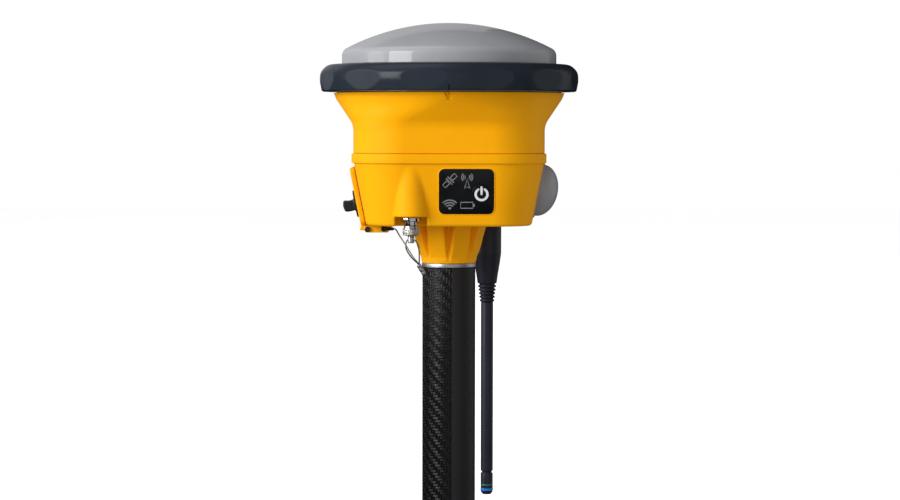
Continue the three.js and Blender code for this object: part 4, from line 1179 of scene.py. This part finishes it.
def make_sockets():
    for name, (x, y, _) in zip(("front_jack", "rear_jack"), JACKS):
        jack = shifted(lathe(jack_profile(), 56), x, y)
        piece(name + "_body", jack, "chrome_jack", "receiver", [name])

    x, y, _ = JACKS[0]
    segments, knurls, twist, knurl_low, knurl_high = 90, 15, 2.6, 16.7, 19.6
    grip_r, grip_depth = 4.18, 0.3
    angles = round_angles(segments)
    flat = np.ones(segments)
    crown = soften([(3.35, 17.1), (3.35, 21.2, 0.15), (3.85, 21.2, 0.15), (3.85, 20.1), (4.15, 20.0)])
    foot = [(4.05, 16.45), (3.8, 16.3), (2.05, 16.3), (2.05, 17.1)]
    rings = [(r * flat, z) for r, z in crown]
    for z in np.linspace(knurl_high, knurl_low, 16):
        diamond = np.abs(np.sin(angles * knurls + z * twist)) * np.abs(np.sin(angles * knurls - z * twist))
        rings.append((grip_r + grip_depth * diamond, z))
    rings += [(r * flat, z) for r, z in foot]
    mesh = stacked(rings[::-1], angles, True)
    piece("dust_cap_knurl", shifted(mesh, x, y), "steel", "cap_ring", ["dust_cap_ring"])

    def core(px, py, z):
        r = np.hypot(px - x, py - y)
        stud = common(r - np.interp(z, [12.3, 12.6, 12.9], [1.62, 1.8, 1.8]), between(z, 12.3, 17.2), 0.25)
        plate = np.maximum(r - 3.0, between(z, 17.15, 17.3))
        groove = np.hypot(r - 1.95, z - 15.5) - 0.3
        hole = np.hypot(py - y, z - 14) - 0.85
        return union(cut(cut(stud, hole, 0.15), groove), plate)

    net_piece("dust_cap_stud", core, (x - 3, y - 3, 12.2), (x + 3, y + 3, 17.4), FINE,
              "steel", "cap_core", ["dust_cap_core"])


# ---- lanyard ----
def smooth_path(points, step):
    """A Catmull-Rom curve through points, resampled at even steps."""
    p = np.array(points, float)
    p = np.vstack([2 * p[0] - p[1], p, 2 * p[-1] - p[-2]])
    fine = []
    for i in range(1, len(p) - 2):
        for t in np.linspace(0, 1, 30, endpoint=False):
            a, b, c, d = p[i - 1:i + 3]
            fine.append(0.5 * (2 * b + (c - a) * t + (2 * a - 5 * b + 4 * c - d) * t * t
                               + (3 * b - a - 3 * c + d) * t ** 3))
    fine.append(p[-2])
    fine = np.array(fine)
    run = np.concatenate([[0], np.cumsum(np.linalg.norm(np.diff(fine, axis=0), axis=1))])
    even = np.linspace(0, run[-1], max(3, round(run[-1] / step)))
    return np.stack([np.interp(even, run, fine[:, k]) for k in range(3)], 1), run[-1]


def wire_rope(path, radius):
    """A tube along the path whose section shows the outer strands, turned once every lay."""
    sides, strands, lay = 28, 7, 5.2
    along = np.gradient(path, axis=0)
    along /= np.linalg.norm(along, axis=1)[:, None]
    side = np.cross(along[0], (0, 1, 0))
    side /= np.linalg.norm(side)
    run = np.concatenate([[0], np.cumsum(np.linalg.norm(np.diff(path, axis=0), axis=1))])
    angles = round_angles(sides)
    points = []
    for here, ahead, s in zip(path, along, run):
        side = side - ahead * (side @ ahead)
        side /= np.linalg.norm(side)
        up = np.cross(ahead, side)
        bulge = np.abs(np.cos((angles - 2 * math.pi * s / lay) * strands / 2))
        r = radius * (0.84 + 0.16 * bulge)
        points += (here + np.outer(r * np.cos(angles), side) + np.outer(r * np.sin(angles), up)).tolist()
    return points, ring_quads(len(path), sides, False) + end_faces(len(path), sides)


def row(points):
    """Points above the seat in millimetres, as points of the row frame in metres."""
    return [(x * MM, y * MM, (z + SEAT) * MM) for x, y, z in points]


def make_lanyard():
    radius, step = 0.38, 0.3
    ax, ay, az = ANCHOR
    jx, jy, _ = JACKS[0]
    top, bottom = np.array((-16.0, -40.0, 0.8)), np.array((-12.9, -39.2, -4.3))  # the crimp's ends
    down = (bottom - top) / np.linalg.norm(bottom - top)
    half = np.linalg.norm(bottom - top) / 2
    across = np.cross(down, (0, 1, 0))
    across /= np.linalg.norm(across)
    deep = np.cross(down, across)
    centre = (top + bottom) / 2

    def crimp(x, y, z):
        offset = np.stack([x - centre[0], y - centre[1], z - centre[2]], -1)
        s, u, v = offset @ down, offset @ across, offset @ deep
        waist = 1.25 - 0.16 * (np.exp(-((s - 1.3) / 0.45) ** 2) + np.exp(-((s + 1.3) / 0.45) ** 2))
        oval = np.hypot(u / waist, v / (waist * 0.8)) - 1.0
        return common(oval * 0.9, np.abs(s) - half, 0.35)

    low, high = np.minimum(bottom, top) - 1.5, np.maximum(bottom, top) + 1.5
    ferrule = net_piece("lanyard_crimp", crimp, low, high, FINE, "aluminium", "receiver",
                        ["lanyard_ferrule"], slot="steel")

    route = [(ax + 3.5, ay - 0.95, az), (ax + 5.5, ay - 0.95, az), (-27.8, -26.6, 18.4), (-26.2, -29, 15.8),
             (-22.6, -33.8, 10.6), (-19.2, -37.4, 5.3), tuple(top + (-0.3, 0.5, 0.9)), tuple(centre),
             tuple(bottom), tuple(bottom + down * 1.3), tuple(bottom + down * 2.4 + (-0.1, 0, -0.1))]
    path, length = smooth_path(route, step)
    cable = piece("lanyard_wire", wire_rope(path, radius), "wire", "receiver", ["lanyard_cable"],
                  slot="steel", sharp=60)

    route = [tuple(centre + across * 0.4), tuple(top + (-0.45, -0.45, 0.8)), (-18.7, -41, 3.7),
             (-21, -41.8, 6.6), (-22.4, jy, 9.6), (-22.5, jy, 12), (-21.8, jy, 13.75), (jx, jy, 14),
             (-17.8, jy, 13.75), (-16.5, jy, 11.9), (-15.7, -42, 9.3), (-15.5, -41.2, 4.6),
             tuple(top + (0.5, -0.4, 0.8)), tuple(centre - across * 0.4)]
    path, length = smooth_path(route, step)
    loop = piece("lanyard_eye", wire_rope(path, radius), "wire", None, ["lanyard_loop"],
                 slot="steel", sharp=60)
    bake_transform(loop)


def make_anchor():
    ax, ay, az = ANCHOR
    points, faces = socket_screw(1.5, 1.0, 0.6, 5.4, 0.75)
    screw = points * (1, 1, -1) + (0, 0, 1.9), [f[::-1] for f in faces]
    piece("lanyard_screw_body", facing_front(screw, ax, ay, az), "black_plastic", "receiver",
          ["lanyard_screw"])

    def lug(x, y, z):
        u, w, v = x - ax, ay - y, z - az
        tag = union(np.hypot(u, v) - 1.6, block(u - 2, v, 2, 0.8, 0.3), 0.4)
        tag = common(tag, between(w, 0.05, 0.5), 0.1)
        sleeve = common(np.hypot(v, w - 0.95) - 0.85, between(u, 2.4, 5.2), 0.25)
        return union(np.maximum(tag, -(np.hypot(u, v) - 0.75)), sleeve, 0.3)

    net_piece("lanyard_eyelet", lug, (ax - 2, ay - 2.2, az - 2), (ax + 5.6, ay + 0.2, az + 2), FINE,
              "black_plastic", "receiver", ["lanyard_lug"])


# ---- whip aerial ----
def make_whip():
    x, y, _ = JACKS[1]
    boot_end, boot_top, boot_floor, socket_r = -13.5, 23.6, 17, 3.8
    relief_end, groove, tip, shaft = -23.8, -118.6, -131.0, 3.4

    def part(name, profile, body, node, segments, steps=5, look="aerial_rubber", slot="black_plastic"):
        return piece(name, shifted(lathe(profile, segments, steps), x, y), look, body, [node], slot)

    boot = [(0, boot_end), (5.3, boot_end, 0.4), (6.0, -8.5, 12), (6.9, -3, 14), (7.75, 3, 12),
            (7.8, 18, 10), (6.8, 22.6, 4), (5.4, boot_top, 0.8), (socket_r, boot_top),
            (socket_r, boot_floor), (0, boot_floor)]
    part("whip_boot", boot, "whip_base", "antenna_boot", 96, 6)

    ribs = 5
    step = (boot_end - relief_end - 0.4) / ribs
    relief = [(0, relief_end - 0.1), (3.5, relief_end - 0.1)]
    for i in range(ribs):
        z = relief_end + 0.1 + i * step
        r = 4.05 + i * 0.24
        relief += [(r - 0.75, z), (r, z + 0.12 * step, 0.25), (r, z + 0.58 * step, 0.3),
                   (r - 0.75, z + 0.7 * step, 0.15)]
    relief += [(4.5, boot_end + 0.1), (0, boot_end + 0.1)]
    sleeve = part("whip_relief", densified(soften(relief), 0.5), None, "antenna_relief", 72)
    start, end = row([(x, y, boot_end), (x, y, relief_end)])
    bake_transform(sleeve)

    rod_low, rod_high = groove + 0.3, relief_end - 0.2
    rod = [(0, rod_low), (shaft - 0.6, rod_low), (shaft, groove + 0.9, 0.4), (shaft, rod_high, 0.4),
           (0, rod_high)]
    part("whip_rod", rod, "whip", "antenna_whip", 64)
    bands = {
        "antenna_band_green": (-125.95, 0.75, "band_green"),
        "antenna_band_blue": (-128.85, 1.3, "band_blue"),
    }
    end = [(0, tip), (shaft - 1.2, tip, 0.5), (shaft, tip + 1.5, 0.8)]
    for z, height, _ in sorted(bands.values()):
        end += [(shaft, z), (shaft - 0.3, z + 0.02), (shaft - 0.3, z + height - 0.02), (shaft, z + height)]
    end += [(shaft, groove - 0.4, 0.35), (shaft - 0.7, groove - 0.4), (shaft - 0.7, rod_low), (0, rod_low)]
    part("whip_tip", end, "whip", "antenna_tip", 64)
    inner, outer = shaft - 0.28, shaft + 0.08
    for name, (z, height, look) in bands.items():
        low, high = z + 0.03, z + height - 0.03
        ring = [(inner, low), (outer, low, 0.1), (outer, high, 0.1), (inner, high)]
        part(name + "_ring", ring, "whip", name, 64, look=look, slot=look)


# ---- what stays as the CAD made it ----
def dress_inner_nodes():
    looks = {
        "black_plastic": ["battery_bay", "front_coax", "rear_coax"],
        "battery_case": ["battery_pack"],
        "circuit_board": ["main_board", "ground_plane", "key_board", "side_antenna"],
        "ceramic": ["antenna_base"],
        "brass": ["antenna_patch", "battery_contacts"],
        "tin": ["amplifier_shield", "shield_can", "radio_module", "key_switch"],
        "steel": ["port_flap_hinge"],
    }
    for look, names in looks.items():
        for name in names:
            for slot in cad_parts[name].material_slots:
                slot.material = LOOKS[look]


# ---- stage ----
def stage_piece(name, data):
    """A floor or backdrop that lights and reflections don't see."""
    made = bpy.data.objects.new(name, data)
    made.visible_glossy = False
    made.visible_diffuse = False
    bpy.context.collection.objects.link(made)
    return made


def make_floor():
    half, lift, glow = 6000.0 * MM, -0.2 * MM, 0.66
    data = bpy.data.meshes.new("floor")
    data.from_pydata([(a * half, b * half, lift) for a, b in AROUND], [], [(0, 1, 2, 3)])
    n = Nodes("floor")
    shade = n.ramp(n.noise(0.002, 2), 0.3, 0.7, 0.93, 0.97)
    white = n.add("ShaderNodeCombineColor")
    for i in range(3):
        n.link(shade, white.inputs[i])
    data.materials.append(n.set(Base_Color=white.outputs[0], Roughness=0.8, Emission_Color=(1, 1, 1, 1),
                                Emission_Strength=glow))
    stage_piece("floor", data)


def make_backdrop():
    """A white dome that only the camera sees, so that the object is lit by the dimmer world behind it."""
    radius = 9.0  # metres
    mesh = bmesh.new()
    bmesh.ops.create_icosphere(mesh, subdivisions=4, radius=radius)
    data = bpy.data.meshes.new("backdrop")
    mesh.to_mesh(data)
    mesh.free()
    n = Nodes("backdrop")
    glow = n.ramp(n.noise(0.001, 1), 0.2, 0.8, 1.0, 1.02)
    data.materials.append(n.set(Base_Color=(0, 0, 0, 1), Specular_IOR_Level=0.0, Emission_Color=(1, 1, 1, 1),
                                Emission_Strength=glow))
    dome = stage_piece("backdrop", data)
    dome.visible_transmission = False
    dome.visible_shadow = False


def area_light(name, place, target, size, power):
    data = bpy.data.lights.new(name, "AREA")
    data.shape = "RECTANGLE"
    data.size, data.size_y = size
    data.energy = power
    lamp = bpy.data.objects.new(name, data)
    lamp.location = place
    lamp.visible_camera = False
    lamp.rotation_euler = (Vector(target) - Vector(place)).to_track_quat("-Z", "Y").to_euler()
    bpy.context.collection.objects.link(lamp)


def make_lights():
    centre, world_light = (0, 0, (SEAT + 60) * MM), 0.38
    lamps = {  # place and size in metres, power in watts
        "key": ((-1.6, -1.2, 0.77), (1.0, 1.1), 38),
        "left": ((-2.1, -0.2, 0.7), (0.9, 1.1), 10),
        "front": ((0.7, -2.2, 0.25), (3.2, 2.2), 10),
        "top": ((-0.7, 0.1, 2.0), (1.4, 1.4), 7),
        "right": ((2.2, 0.7, 0.5), (2.4, 2.2), 8),
        "rear": ((-1.0, 2.3, 1.0), (2.6, 1.6), 7),
    }
    for name, (place, size, power) in lamps.items():
        area_light(name, place, centre, size, power)
    world = bpy.data.worlds.new("studio")
    world.use_nodes = True
    background = world.node_tree.nodes["Background"]
    background.inputs["Color"].default_value = (1, 1, 1, 1)
    background.inputs["Strength"].default_value = world_light
    world.cycles_visibility.glossy = False
    bpy.context.scene.world = world
    bpy.context.scene.view_settings.view_transform = "Standard"


LOOKS = make_looks()
make_camera()
make_lanyard()
make_lower_housing()
make_upper_housing()
make_top()
make_neck()
make_pole()
make_panel()
make_side_cover()
make_port()
make_door()
make_latch()
make_hinge()
make_case_screws()
make_sockets()
make_anchor()
make_whip()
dress_inner_nodes()
make_floor()
make_backdrop()
make_lights()
